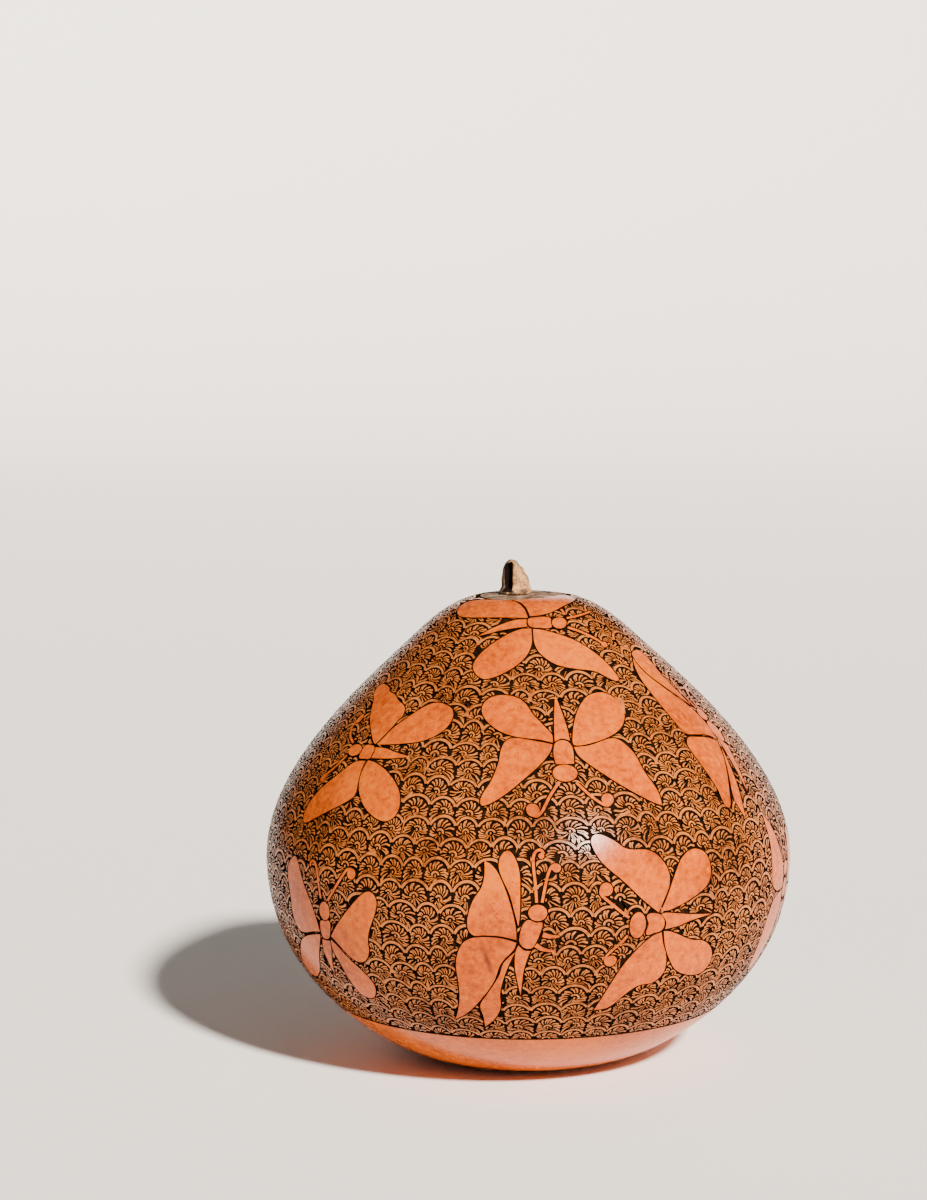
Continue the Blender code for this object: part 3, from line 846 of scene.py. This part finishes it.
# %% [markdown]
# Every butterfly has a place: degrees around from the front, millimetres down
# from the crown, a turn in degrees, and -1 where it is mirrored.  The far side
# repeats drawings from the front, turned and mirrored so that they aren't
# recognised at a glance.

# %% Where the butterflies sit
PLACES = (
    (BELOW_STEM, 3.9, 17.6, 0, 1), (LEFT_OPEN, -47.8, 51.1, 0, 1), (HEAD_DOWN, 10.1, 48.7, 0, 1),
    (SIDE_ON, 67.9, 50.3, 0, 1), (HEART_WING, -48.6, 87.9, 0, 1), (RESTING, 0.6, 84.4, 0, 1),
    (ALL_ROUND, 26.9, 83.7, 0, 1), (RIM_WINGS, 74.5, 83.7, 0, 1),
    (BELOW_STEM, 184.0, 18.5, 0, -1),
    (HEAD_DOWN, 118.0, 49.5, 20, -1), (LEFT_OPEN, 172.0, 50.0, -30, -1),
    (ALL_ROUND, 232.0, 50.0, 200, 1), (HEART_WING, 117.0, 87.0, 0, -1),
    (HEAD_DOWN, 162.0, 86.0, 170, 1), (RESTING, 214.0, 84.5, 0, -1),
    (RIM_WINGS, 262.0, 84.0, 8, 1),
)
print(len(PLACES), "butterflies")

# %% [markdown]
# Each drawing becomes closed outlines in the waist's own millimetres.  An
# antenna or a leg is a ribbon laid along its smooth line, and a head is a circle
# squeezed to an oval.  All outlines run counter-clockwise, so that moving one
# outwards is the same step for each.

# %% Closed outlines
STROKE = 0.62 * MM              # width of an antenna


def grown(outline, by):
    """The outline moved outwards, square to its own direction."""
    count = len(outline)
    moved = []
    for i, spot in enumerate(outline):
        along = outline[(i + 1) % count] - outline[i - 1]
        if along.length > 0.0:
            along.normalize()
        moved.append(spot + Vector((along.y, -along.x, 0.0)) * by)
    return moved


def turned_left(outline):
    """The outline in counter-clockwise order."""
    area = sum(a.x * b.y - b.x * a.y for a, b in zip(outline, outline[1:] + outline[:1]))
    return outline if area > 0 else outline[::-1]


def ribbon(points):
    """A closed outline around a stroke; a point's third value is its width there."""
    steps = 5
    line = round_line([point[:2] for point in points], closed=False, steps=steps)
    given = [point[2] if len(point) == 3 else STROKE / MM for point in points]
    sides = ([], [])
    for i, spot in enumerate(line):
        along = (line[min(i + 1, len(line) - 1)] - line[max(i - 1, 0)]).normalized()
        width = float(np.interp(i / steps, range(len(given)), given))
        across = Vector((along.y, -along.x, 0.0)) * width / 2
        sides[0].append(spot + across)
        sides[1].append(spot - across)
    return sides[0] + sides[1][::-1]


def oval(x, y, half_width, half_height, turn):
    """An ellipse for a head or the knob of an antenna."""
    bm = bmesh.new()
    rim = bmesh.ops.create_circle(bm, segments=20, radius=1.0)["verts"]
    place = (Matrix.Translation((x, y, 0)) @ Matrix.Rotation(math.radians(turn), 4, "Z")
             @ Matrix.Diagonal((half_width, half_height, 1.0, 1.0)))
    spots = [place @ vert.co for vert in rim]
    bm.free()
    return spots


def drawn_outlines(drawing, turn, mirror):
    """All closed outlines of one butterfly, in metres from its waist, knobs last."""
    shapes = [round_line(points, closed=True, steps=6) for points in drawing["outlines"]]
    shapes += [oval(*values) for values in drawing["ovals"]]
    shapes += [ribbon(points) for points in drawing["strokes"]]
    shapes += [oval(*values) for values in drawing["knobs"]]
    place = (Matrix.Rotation(math.radians(turn), 4, "Z") @ Matrix.Diagonal((mirror, 1, 1, 1)))
    return [turned_left([place @ spot * MM for spot in shape]) for shape in shapes]


print("a butterfly in", len(drawn_outlines(RESTING, 0, 1)), "outlines")

# %% [markdown]
# The outlines are then laid on the sheet.  The waist's millimetres are turned to
# angles by the gourd's radius at each height, so a wing keeps its size near the
# crown.  A second outline a quarter of a millimetre outside is the carver's dark
# line, a fence at which the scales stop.

# %% Fences on the sheet
LINE = 0.22 * MM


def to_sheet(spots, azimuth, walked):
    """Waist millimetres to sheet places, as an array of x and y."""
    spots = np.array([spot[:2] for spot in spots])
    down = np.clip(walked - spots[:, 1], 0.5 * MM, None)
    around = math.radians(azimuth) + spots[:, 0] / radius_at(down)
    return np.stack([around * BELLY, -down], axis=1)


fences = []
for drawing, azimuth, down, turn_by, mirror in PLACES:
    for shape in drawn_outlines(drawing, turn_by, mirror):
        fences.append(to_sheet(grown(shape, LINE), azimuth, down * MM))
print(len(fences), "fences on the sheet")

# %% [markdown]
# A wing is its outline filled with one face, raised on sloping sides.  Cuts
# every two millimetres, both ways, let the flat top bend with the gourd when it
# is wrapped.

# %% Raise the wings and bodies
CELL = 2.0 * MM
WING_BANK = 0.05 * MM


def raise_butterfly(drawing, azimuth, walked, turn_by, mirror):
    """All islands of one butterfly, cut into cells and placed on the sheet."""
    bm = bmesh.new()
    shapes = drawn_outlines(drawing, turn_by, mirror)
    for number, shape in enumerate(shapes):
        corners = [bm.verts.new((spot.x, spot.y, FOOT)) for spot in shape]
        face = bm.faces.new(corners)
        face.normal_update()
        # a knob overlaps its antenna, so it lies a hair lower
        is_knob = number >= len(shapes) - len(drawing["knobs"])
        raise_island(bm, face, -2 * HAIR if is_knob else 0.0, WING_BANK)
    bmesh.ops.remove_doubles(bm, verts=bm.verts, dist=0.0005 * MM)
    bmesh.ops.recalc_face_normals(bm, faces=bm.faces)
    for axis in ((1, 0, 0), (0, 1, 0)):
        for step in range(-12, 13):
            whole = bm.verts[:] + bm.edges[:] + bm.faces[:]
            bmesh.ops.bisect_plane(bm, geom=whole, dist=0.0, plane_no=axis,
                                   plane_co=Vector(axis) * CELL * step)
    for face in bm.faces:
        face.material_index = 0 if min(v.co.z for v in face.verts) > -0.1 * MM else 1
    spots = to_sheet([vert.co for vert in bm.verts], azimuth, walked)
    for vert, (x, y) in zip(bm.verts, spots):
        vert.co.x, vert.co.y = x, y
    return bm


def append(bm, other):
    """Move another bmesh's faces into this one."""
    mesh = bpy.data.meshes.new("appended")
    other.to_mesh(mesh)
    other.free()
    bm.from_mesh(mesh)
    bpy.data.meshes.remove(mesh)


butterflies = bmesh.new()
for drawing, azimuth, down, turn_by, mirror in PLACES:
    append(butterflies, raise_butterfly(drawing, azimuth, down * MM, turn_by, mirror))
print("butterflies", len(butterflies.faces), "faces")
butterfly_piece = make_piece("butterflies", butterflies, (skin, soot))
wrap(butterfly_piece.data)

# %% [markdown]
# The scales go on row by row.  Every row closes around the gourd, so its number
# of scales is the girth divided by five millimetres, rounded, and the rows near
# the crown hold fewer.  The cusps wander a little, as a hand does.

# %% Where the rows run
FIRST_ROW = 9.4 * MM
ROWS = int((BASE_EDGE - FIRST_ROW) / ROW_PITCH) + 1
FULL_TURN = 2 * math.pi * BELLY
hand = np.random.default_rng(5)


def lay_out_row(number):
    """Cusps and arches of one row, as arrays with one entry for each scale."""
    walked = FIRST_ROW + number * ROW_PITCH
    girth = 2 * math.pi * float(radius_at(walked + ARCH_RISE))
    count = max(8, round(girth / SCALE_WIDTH))
    pitch = FULL_TURN / count
    start = hand.uniform(0, 1) * 0.3 * pitch + (number % 2) * pitch / 2 - FULL_TURN / 2
    x = start + pitch * (np.arange(count) + hand.uniform(-0.17, 0.17, count))
    phase = hand.uniform(0, 2 * math.pi, 3)
    swing = sum(np.sin((wave + 2) * x / BELLY + phase[wave]) for wave in range(3))
    y = -(walked + ARCH_RISE) + swing * 0.20 * MM + hand.uniform(-0.22, 0.22, count) * MM
    tall = 1.0 + hand.uniform(-0.18, 0.18, count)
    return dict(x=x, y=y, dx=np.append(x[1:], x[0] + FULL_TURN) - x,
                dy=np.append(y[1:], y[0]) - y, tall=tall)


rows = [lay_out_row(number) for number in range(ROWS + 1)]
print(ROWS, "rows,", sum(len(row["x"]) for row in rows[:ROWS]), "scales")

# %% [markdown]
# A stamp is stretched between its row's cusps.  The arches of the next row down
# lie over its foot, so whatever would be under them is moved straight back from
# the arch's centre to the groove above it.


# %% Stretch and trim to the next row
def to_row(row, index, u, v):
    """Scale coordinates to sheet coordinates, for the scale with that index."""
    share = u / SCALE_WIDTH
    x = row["x"][index] + (share + 0.5) * row["dx"][index]
    y = row["y"][index] + (share + 0.5) * row["dy"][index] + v * row["tall"][index]
    return x, y


def from_row(row, x, y):
    """Which scale of a row a sheet place belongs to, and its scale coordinates."""
    first = row["x"][0]
    lap = np.floor((x - first) / FULL_TURN) * FULL_TURN
    index = np.searchsorted(row["x"], x - lap, side="right") - 1
    share = (x - lap - row["x"][index]) / row["dx"][index] - 0.5
    v = (y - row["y"][index] - (share + 0.5) * row["dy"][index]) / row["tall"][index]
    return index, lap, share * SCALE_WIDTH, v


def push_from_arches(row, x, y):
    """Move places that lie under a row's arches back up to the groove above them."""
    index, lap, u, v = from_row(row, x, y)
    reach = np.hypot(u, v - ARCH_CENTRE.y)
    limit = ARCH_RADIUS + GROOVE
    buried = reach < limit
    grow = limit / np.maximum(reach, 0.05 * MM)
    pushed_x, pushed_y = to_row(row, index, u * grow, ARCH_CENTRE.y + (v - ARCH_CENTRE.y) * grow)
    return buried, np.where(buried, pushed_x + lap, x), np.where(buried, pushed_y, y)


# %% [markdown]
# The butterflies cut into the scales in the same way.  A place is inside a fence
# if a line to its right crosses the fence an odd number of times, and it is then
# moved to the nearest point of the fence.


# %% Trim to the butterflies
def inside(fence, x, y):
    """True for places inside a closed outline, by counting its edges to the right."""
    x1, y1 = fence.T
    x2, y2 = np.roll(fence, -1, axis=0).T
    crosses = (y1 > y[:, None]) != (y2 > y[:, None])
    rise = np.where(y2 == y1, 1.0, y2 - y1)
    meets = x[:, None] < x1 + (x2 - x1) * (y[:, None] - y1) / rise
    return (crosses & meets).sum(1) % 2 == 1


def to_edge(fence, x, y):
    """The nearest places on a closed outline."""
    start = fence
    along = np.roll(fence, -1, axis=0) - start
    spots = np.stack([x, y], axis=1)[:, None, :]
    share = ((spots - start) * along).sum(2) / np.maximum((along ** 2).sum(1), 1e-16)
    nearest = start + np.clip(share, 0, 1)[:, :, None] * along
    best = ((nearest - spots) ** 2).sum(2).argmin(1)
    return nearest[np.arange(len(x)), best].T


def push_from_fences(x, y):
    """Move places that lie within a butterfly out to its dark line."""
    within = np.zeros(len(x), bool)
    for fence in fences:
        low, high = fence.min(0), fence.max(0)
        for lap in (-FULL_TURN, 0.0, FULL_TURN):
            near = np.flatnonzero((x + lap > low[0]) & (x + lap < high[0])
                                  & (y > low[1]) & (y < high[1]))
            if len(near):
                hit = near[inside(fence, x[near] + lap, y[near])]
                if len(hit):
                    within[hit] = True
                    x[hit], y[hit] = to_edge(fence, x[hit] + lap, y[hit])
                    x[hit] -= lap
    return within


# %% [markdown]
# One row is a string of stamps, moved and trimmed in one go as arrays.  Islands
# that lie in a butterfly or nearly wholly under the next row are taken away, and
# a ridge that is cut through is closed again at its ends.


# %% Carve one row
WIDEST_FACE = 1.3 * MM * MM     # no sound ridge or leaf has a face as large


def carve_row(number, rng):
    """One closed row of scales, trimmed by what lies next to it."""
    row, below = rows[number], rows[number + 1]
    bm = bmesh.new()
    picks = [rng.randrange(len(stamps)) for _ in row["x"]]
    for pick in picks:
        bm.from_mesh(stamps[pick][0])
    sizes = [len(stamps[pick][1]) for pick in picks]
    owner = np.repeat(np.arange(len(picks)), sizes)
    flat = np.concatenate([stamps[pick][1] for pick in picks])
    island = np.concatenate([stamps[pick][2] + 100 * i for i, pick in enumerate(picks)])
    x, y = to_row(row, owner, flat[:, 0], flat[:, 1])
    centre_x = np.bincount(island, x) / np.maximum(np.bincount(island), 1)
    centre_y = np.bincount(island, y) / np.maximum(np.bincount(island), 1)
    ridge = island % 100 == 0
    lost = push_from_fences(centre_x.copy(), centre_y.copy())
    low_edge = -(BASE_EDGE - STEP) + GROOVE
    lost |= centre_y < low_edge
    under, x, y = push_from_arches(below, x, y)
    share_under = np.bincount(island, under) / np.maximum(np.bincount(island), 1)
    lost |= share_under > 0.8
    under |= push_from_fences(x, y)
    push_from_fences(x, y)
    under |= y < low_edge
    y = np.maximum(y, low_edge)
    gone = under | (lost[island] & ~ridge)
    # the four corners of a ridge's section come or go together
    angle = np.arctan2(flat[:, 1] - ARCH_CENTRE.y, flat[:, 0]) - (math.pi / 2 - HALF_SWEEP)
    section = np.round(angle / (2 * HALF_SWEEP) * RIDGE_STEPS).clip(0, RIDGE_STEPS).astype(int)
    section += island * (RIDGE_STEPS + 1)
    share_gone = np.bincount(section, gone) / np.maximum(np.bincount(section), 1)
    gone = np.where(ridge, share_gone[section] > 0.5, gone)
    for vert, new_x, new_y in zip(bm.verts, x, y):
        vert.co.x, vert.co.y = new_x, new_y
    bm.verts.index_update()
    bare = [face for face in bm.faces if all(gone[vert.index] for vert in face.verts)]
    bmesh.ops.delete(bm, geom=bare, context="FACES")
    rims = [edge for edge in bm.edges if edge.is_boundary]
    bmesh.ops.holes_fill(bm, edges=rims, sides=0)
    # an island torn along its length has no clean end to close, so it goes whole
    shrink = float(radius_at(FIRST_ROW + number * ROW_PITCH)) / BELLY
    reached = [face for face in bm.faces if face.calc_area() * shrink > WIDEST_FACE]
    torn = set()
    while reached:
        face = reached.pop()
        if face not in torn:
            torn.add(face)
            reached.extend(near for edge in face.edges for near in edge.link_faces)
    bmesh.ops.delete(bm, geom=list(torn), context="FACES")
    return bm


# %% [markdown]
# For a game or a web page the colours can be baked onto a flat map of the surface.
# The carving was flat to begin with, so its map is that drawing: tops where they
# lie, and the dark sides squeezed into a strip below them.


# %% A map for baked colours
def chart(mesh, top_row, bottom_row):
    """Lay out a band of rows on its map."""
    spots = np.empty(len(mesh.vertices) * 3)
    mesh.vertices.foreach_get("co", spots)
    x, y, z = spots.reshape(-1, 3).T
    high = -(FIRST_ROW + top_row * ROW_PITCH) + 1 * MM
    low = -(FIRST_ROW + (bottom_row + 1) * ROW_PITCH) - ARCH_RISE - 3 * MM
    corners = np.empty(len(mesh.loops), np.int32)
    mesh.loops.foreach_get("vertex_index", corners)
    finish = np.empty(len(mesh.polygons), np.int32)
    mesh.polygons.foreach_get("material_index", finish)
    length = np.empty(len(mesh.polygons), np.int32)
    mesh.polygons.foreach_get("loop_total", length)
    is_top = np.repeat(finish == 0, length)
    u = np.clip(0.5 + x[corners] / (FULL_TURN * 1.04), 0.0, 1.0)
    v_top = 0.08 + 0.92 * np.clip((y[corners] - low) / (high - low), 0.0, 1.0)
    v_side = 0.01 + 0.05 * np.clip((z[corners] - FOOT) / -FOOT, 0.0, 1.0)
    layer = mesh.uv_layers.new(name="OFBake")
    layer.uv.foreach_set("vector", np.stack([u, np.where(is_top, v_top, v_side)], 1).ravel())


# %% [markdown]
# The rows are gathered in seven bands.  One piece with all of them would be too
# heavy to handle, and a piece for each row would be fussy.

# %% Carve the rows
BANDS = 7
rng = random.Random(21)
for band in range(BANDS):
    first, last = ROWS * band // BANDS, ROWS * (band + 1) // BANDS
    bm = bmesh.new()
    for number in range(first, last):
        append(bm, carve_row(number, rng))
    piece = make_piece(f"carved_scales_{band + 1}", bm, (scale_skin, soot))
    chart(piece.data, first, last - 1)
    wrap(piece.data)
    triangles = sum(len(p.vertices) - 2 for p in piece.data.polygons)
    print(piece.name, "rows", first, "to", last - 1, triangles, "triangles")

# %% [markdown]
# The stem is a dry stub that was broken off, not cut, so one side stands higher
# and its pith has rotted to a dark slot that opens towards the front left.
# Weathered wood is grey-brown with pale streaks. Real bark patches darken the collar and the
# right, and the same dark bark over the left side is painted shade; the slot is rotted pith
# painted almost black, partly as painted shade.

# %% Stem finishes and sizes
STEM_SIDES = 56
STEM_TOP = stem_high.z - shell_high.z
BREAK = ((-2.9, 0.62), (-2.3, 0.80), (-1.7, 0.94), (-0.9, 1.0), (0.1, 0.93), (0.7, 0.81),
         (1.4, 0.73), (2.1, 0.57), (2.9, 0.40))     # height of the break from left to right
SLOT_AT = math.radians(-35.0)       # around from the front
SLOT_HALF = math.radians(19.0)
stem_wood = clouded("weathered_stem_wood", 0.85, 1.25,
                    ((0.33, "#2E1E12"), (0.43, "#865C38"), (0.54, "#BC8A58"), (0.7, "#DCB48A")),
                    0.3)
# rotted pith, painted nearly black so that the slot also carries painted shade
pith_with_painted_shade = clouded("rotted_pith_painted_shade", 0.95, 1.67, ((0.3, "#080403"), (0.8, "#180D08")), 0.2,
                    Specular_IOR_Level=0.1)
# real bark patches; the same finish is painted shade over the stem's left side
bark_and_painted_shade = clouded("stem_bark_and_painted_shade", 0.9, 1.43,
                    ((0.3, "#20150E"), (0.55, "#57402C"), (0.8, "#8A7866")), 0.3)
print("stem of", round(2 * root_radius / MM, 1), "mm, broken", round(STEM_TOP / MM, 1),
      "mm above the crown")

# %% [markdown]
# The stub starts as a straight post: a disc at the root's lower end is extruded
# ring by ring, past the collar and up to a rounded top.  Close rings leave
# enough vertices for the break and the slot.

# %% Extrude the stem
# height above the crown and radius of each ring, in millimetres
levels = [(-4.2, 2.9), (-0.02, 2.9), (0.0, 3.35), (0.35, 3.4), (0.8, 3.1), (1.15, 2.8)]
levels += [(1.15 + (STEM_TOP / MM - 1.15) * share, 2.8 - 0.25 * share ** 2)
           for share in (0.12, 0.24, 0.36, 0.48, 0.6, 0.7, 0.8, 0.88, 0.95)]
levels += [(STEM_TOP / MM - 0.05, 2.2), (STEM_TOP / MM, 1.6), (STEM_TOP / MM - 0.25, 1.0),
           (STEM_TOP / MM - 0.5, 0.5)]
bm = bmesh.new()
bmesh.ops.create_circle(bm, cap_ends=True, segments=STEM_SIDES, radius=levels[0][1] * MM,
                        matrix=Matrix.Translation((0, 0, levels[0][0] * MM)))
cap = bm.faces[:]
for (below, old), (height, new) in zip(levels, levels[1:]):
    lifted = bmesh.ops.extrude_face_region(bm, geom=cap)["geom"]
    bmesh.ops.delete(bm, geom=cap, context="FACES_ONLY")
    cap = [part for part in lifted if isinstance(part, bmesh.types.BMFace)]
    ring = [part for part in lifted if isinstance(part, bmesh.types.BMVert)]
    bmesh.ops.scale(bm, vec=(new / old, new / old, 1.0), verts=ring)
    bmesh.ops.translate(bm, vec=(0, 0, (height - below) * MM), verts=ring)
bmesh.ops.holes_fill(bm, edges=bm.edges, sides=0)
print("stem", len(bm.faces), "faces")

# %% [markdown]
# Finishes go on while the post is still straight and its faces are easy to tell
# apart.  Then every vertex is moved: the slot is pressed in, the top follows the
# slant of the break, and noise stretched along the stem roughens it as grain.

# %% Break and weather the stem
COLLAR_TOP = 1.15 * MM
for face in bm.faces:
    spot = face.calc_center_median()
    around = math.atan2(spot.x, -spot.y)
    off = math.remainder(around - SLOT_AT, 2 * math.pi)
    torn = noise.noise(spot * 700.0) > 0.05
    in_slot = abs(off) < 1.2 * SLOT_HALF and 0.5 * MM < spot.z < 0.95 * STEM_TOP
    # the slot's faces take the pith: rotted pith, painted near black as shade in the hollow
    if in_slot and spot.xy.length > 2 * MM:
        face.material_index = 1
    # faces left of the slot take the dark bark as painted shade; noise patches low or on the
    # right are real bark
    elif (off < 0 and around > -2.2) or (torn and (spot.z < 0.9 * MM or spot.x > 1.9 * MM)):
        face.material_index = 2
for vert in bm.verts:
    height = vert.co.z
    if height > 0.01 * MM:
        spot = vert.co.copy()
        off = math.remainder(math.atan2(spot.x, -spot.y) - SLOT_AT, 2 * math.pi)
        in_slot = 0.9 * MM < height < 0.93 * STEM_TOP
        pressed = math.exp(-(off / SLOT_HALF) ** 4) if in_slot else 0.0
        grain = noise.fractal(Vector((spot.x * 900, spot.y * 900, spot.z * 260)), 1.0, 2.0, 4)
        size = 1.0 + 0.075 * grain - (0.55 * pressed if spot.xy.length > 2.0 * MM else 0.0)
        if height < 1.0 * MM and spot.x < 0.0:
            size *= 1.0 + 0.05 * spot.x / (3.4 * MM)      # the left side has no flare
        vert.co.x, vert.co.y = spot.x * size, spot.y * size
        tall = float(np.interp(spot.x / MM, *zip(*BREAK)))
        if height > COLLAR_TOP:
            knots = noise.noise(spot * 1500.0) * 0.25 * MM * (height / STEM_TOP)
            share = (height - COLLAR_TOP) / (STEM_TOP - COLLAR_TOP)
            vert.co.z = COLLAR_TOP + share * (tall * STEM_TOP - COLLAR_TOP)
            vert.co.z = min(vert.co.z + knots, STEM_TOP)
bmesh.ops.translate(bm, vec=(stem_x, 0.0, shell_high.z), verts=bm.verts)
bmesh.ops.recalc_face_normals(bm, faces=bm.faces)
stem_piece = make_piece("broken_stem", bm, (stem_wood, pith_with_painted_shade, bark_and_painted_shade),
                        sharp=55.0)
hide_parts("stem")
print(stem_piece.name, len(stem_piece.data.polygons), "faces")

# %% [markdown]
# The seeds are flat and pointed at one end.  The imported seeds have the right
# size, so each is copied, merged and rounded off by subdivision, which keeps it
# within its own outline and clear of its neighbours.

# %% Seeds
for name in sorted(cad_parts):
    if name.startswith("seed_"):
        bm = bmesh.new()
        bm.from_mesh(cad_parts[name].data)
        bmesh.ops.remove_doubles(bm, verts=bm.verts, dist=0.001 * MM)
        bmesh.ops.subdivide_edges(bm, edges=bm.edges, cuts=1, use_grid_fill=True)
        bmesh.ops.smooth_vert(bm, verts=bm.verts, factor=0.3, use_axis_x=True, use_axis_y=True,
                              use_axis_z=True)
        seed = make_piece("loose_" + name, bm, (seed_coat,), "loose_" + name, 60.0)
        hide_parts(name)
print("last seed", seed.name, len(seed.data.polygons), "faces")

# %% [markdown]
# The light is that of a bright window: a warm sun, softened to a few degrees
# across, stands in front and to the right at a third of the way up.  It puts the
# shine on the right of the belly, leaves the left side dark, and throws the
# shadow back to the left.

# %% Light
SUN_AROUND, SUN_UP = math.radians(30.0), math.radians(36.0)
sun_from = Vector((math.sin(SUN_AROUND) * math.cos(SUN_UP),
                   -math.cos(SUN_AROUND) * math.cos(SUN_UP), math.sin(SUN_UP)))
sun = bpy.data.lights.new("window_sun", "SUN")
sun.energy = 11.0
sun.angle = math.radians(5.0)
sun.color = linear("#FFF2E4")[:3]
lamp = bpy.data.objects.new("window_sun", sun)
lamp.location = sun_from * 2.0
lamp.rotation_euler = (-sun_from).to_track_quat("-Z", "Y").to_euler()
bpy.context.scene.collection.objects.link(lamp)
world = bpy.data.worlds.new("studio")
world.use_nodes = True
world.node_tree.nodes["Background"].inputs["Color"].default_value = linear("#F6F4F2")
world.node_tree.nodes["Background"].inputs["Strength"].default_value = 0.12
bpy.context.scene.world = world
print("sun from", [round(c, 2) for c in sun_from])

# %% [markdown]
# A pale floor that curves up all around takes a soft shadow and shows no
# horizon.  It is matt card, white but for a dark grey stretch far out on the
# left, outside the view.  In a studio a black card would stand there, to keep
# light off the side that should stay dark.

# %% Floor
floor_finish, tree, shader = new_finish("matt_pale_card", Roughness=0.9)
place = add(tree, "ShaderNodeTexCoord").outputs["Object"]
leftward = add(tree, "ShaderNodeVectorMath",
              {"operation": "DOT_PRODUCT", "1": (-1.0, 0.0, 0.0)}, _0=place)
far_out = add(tree, "ShaderNodeMapRange", {"From Min": 0.6, "From Max": 1.2},
              Value=leftward.outputs["Value"])
card = add(tree, "ShaderNodeValToRGB", {"stops": ((0.0, "#FCFBF9"), (1.0, "#242322"))},
           _0=far_out.outputs[0])
tree.links.new(card.outputs["Color"], shader.inputs["Base Color"])
FLAT, COVE = 1.5, 0.9                   # metres: the flat part's radius, the curve's radius
profile = [(0.0, 0.0, 0.0)] + [
    (FLAT + COVE * math.sin(a), 0.0, COVE * (1 - math.cos(a)))
    for a in np.linspace(0, math.pi / 2, 24)]
bm = bmesh.new()
turn(bm, profile, 0)
bmesh.ops.remove_doubles(bm, verts=bm.verts, dist=0.01 * MM)
bmesh.ops.recalc_face_normals(bm, faces=bm.faces)
bmesh.ops.reverse_faces(bm, faces=bm.faces)
mesh = bpy.data.meshes.new("floor")
bm.to_mesh(mesh)
bm.free()
mesh.materials.append(floor_finish)
mesh.shade_smooth()
floor = bpy.data.objects.new("floor", mesh)
bpy.context.scene.collection.objects.link(floor)
print("floor", round(2 * (FLAT + COVE), 1), "m across")
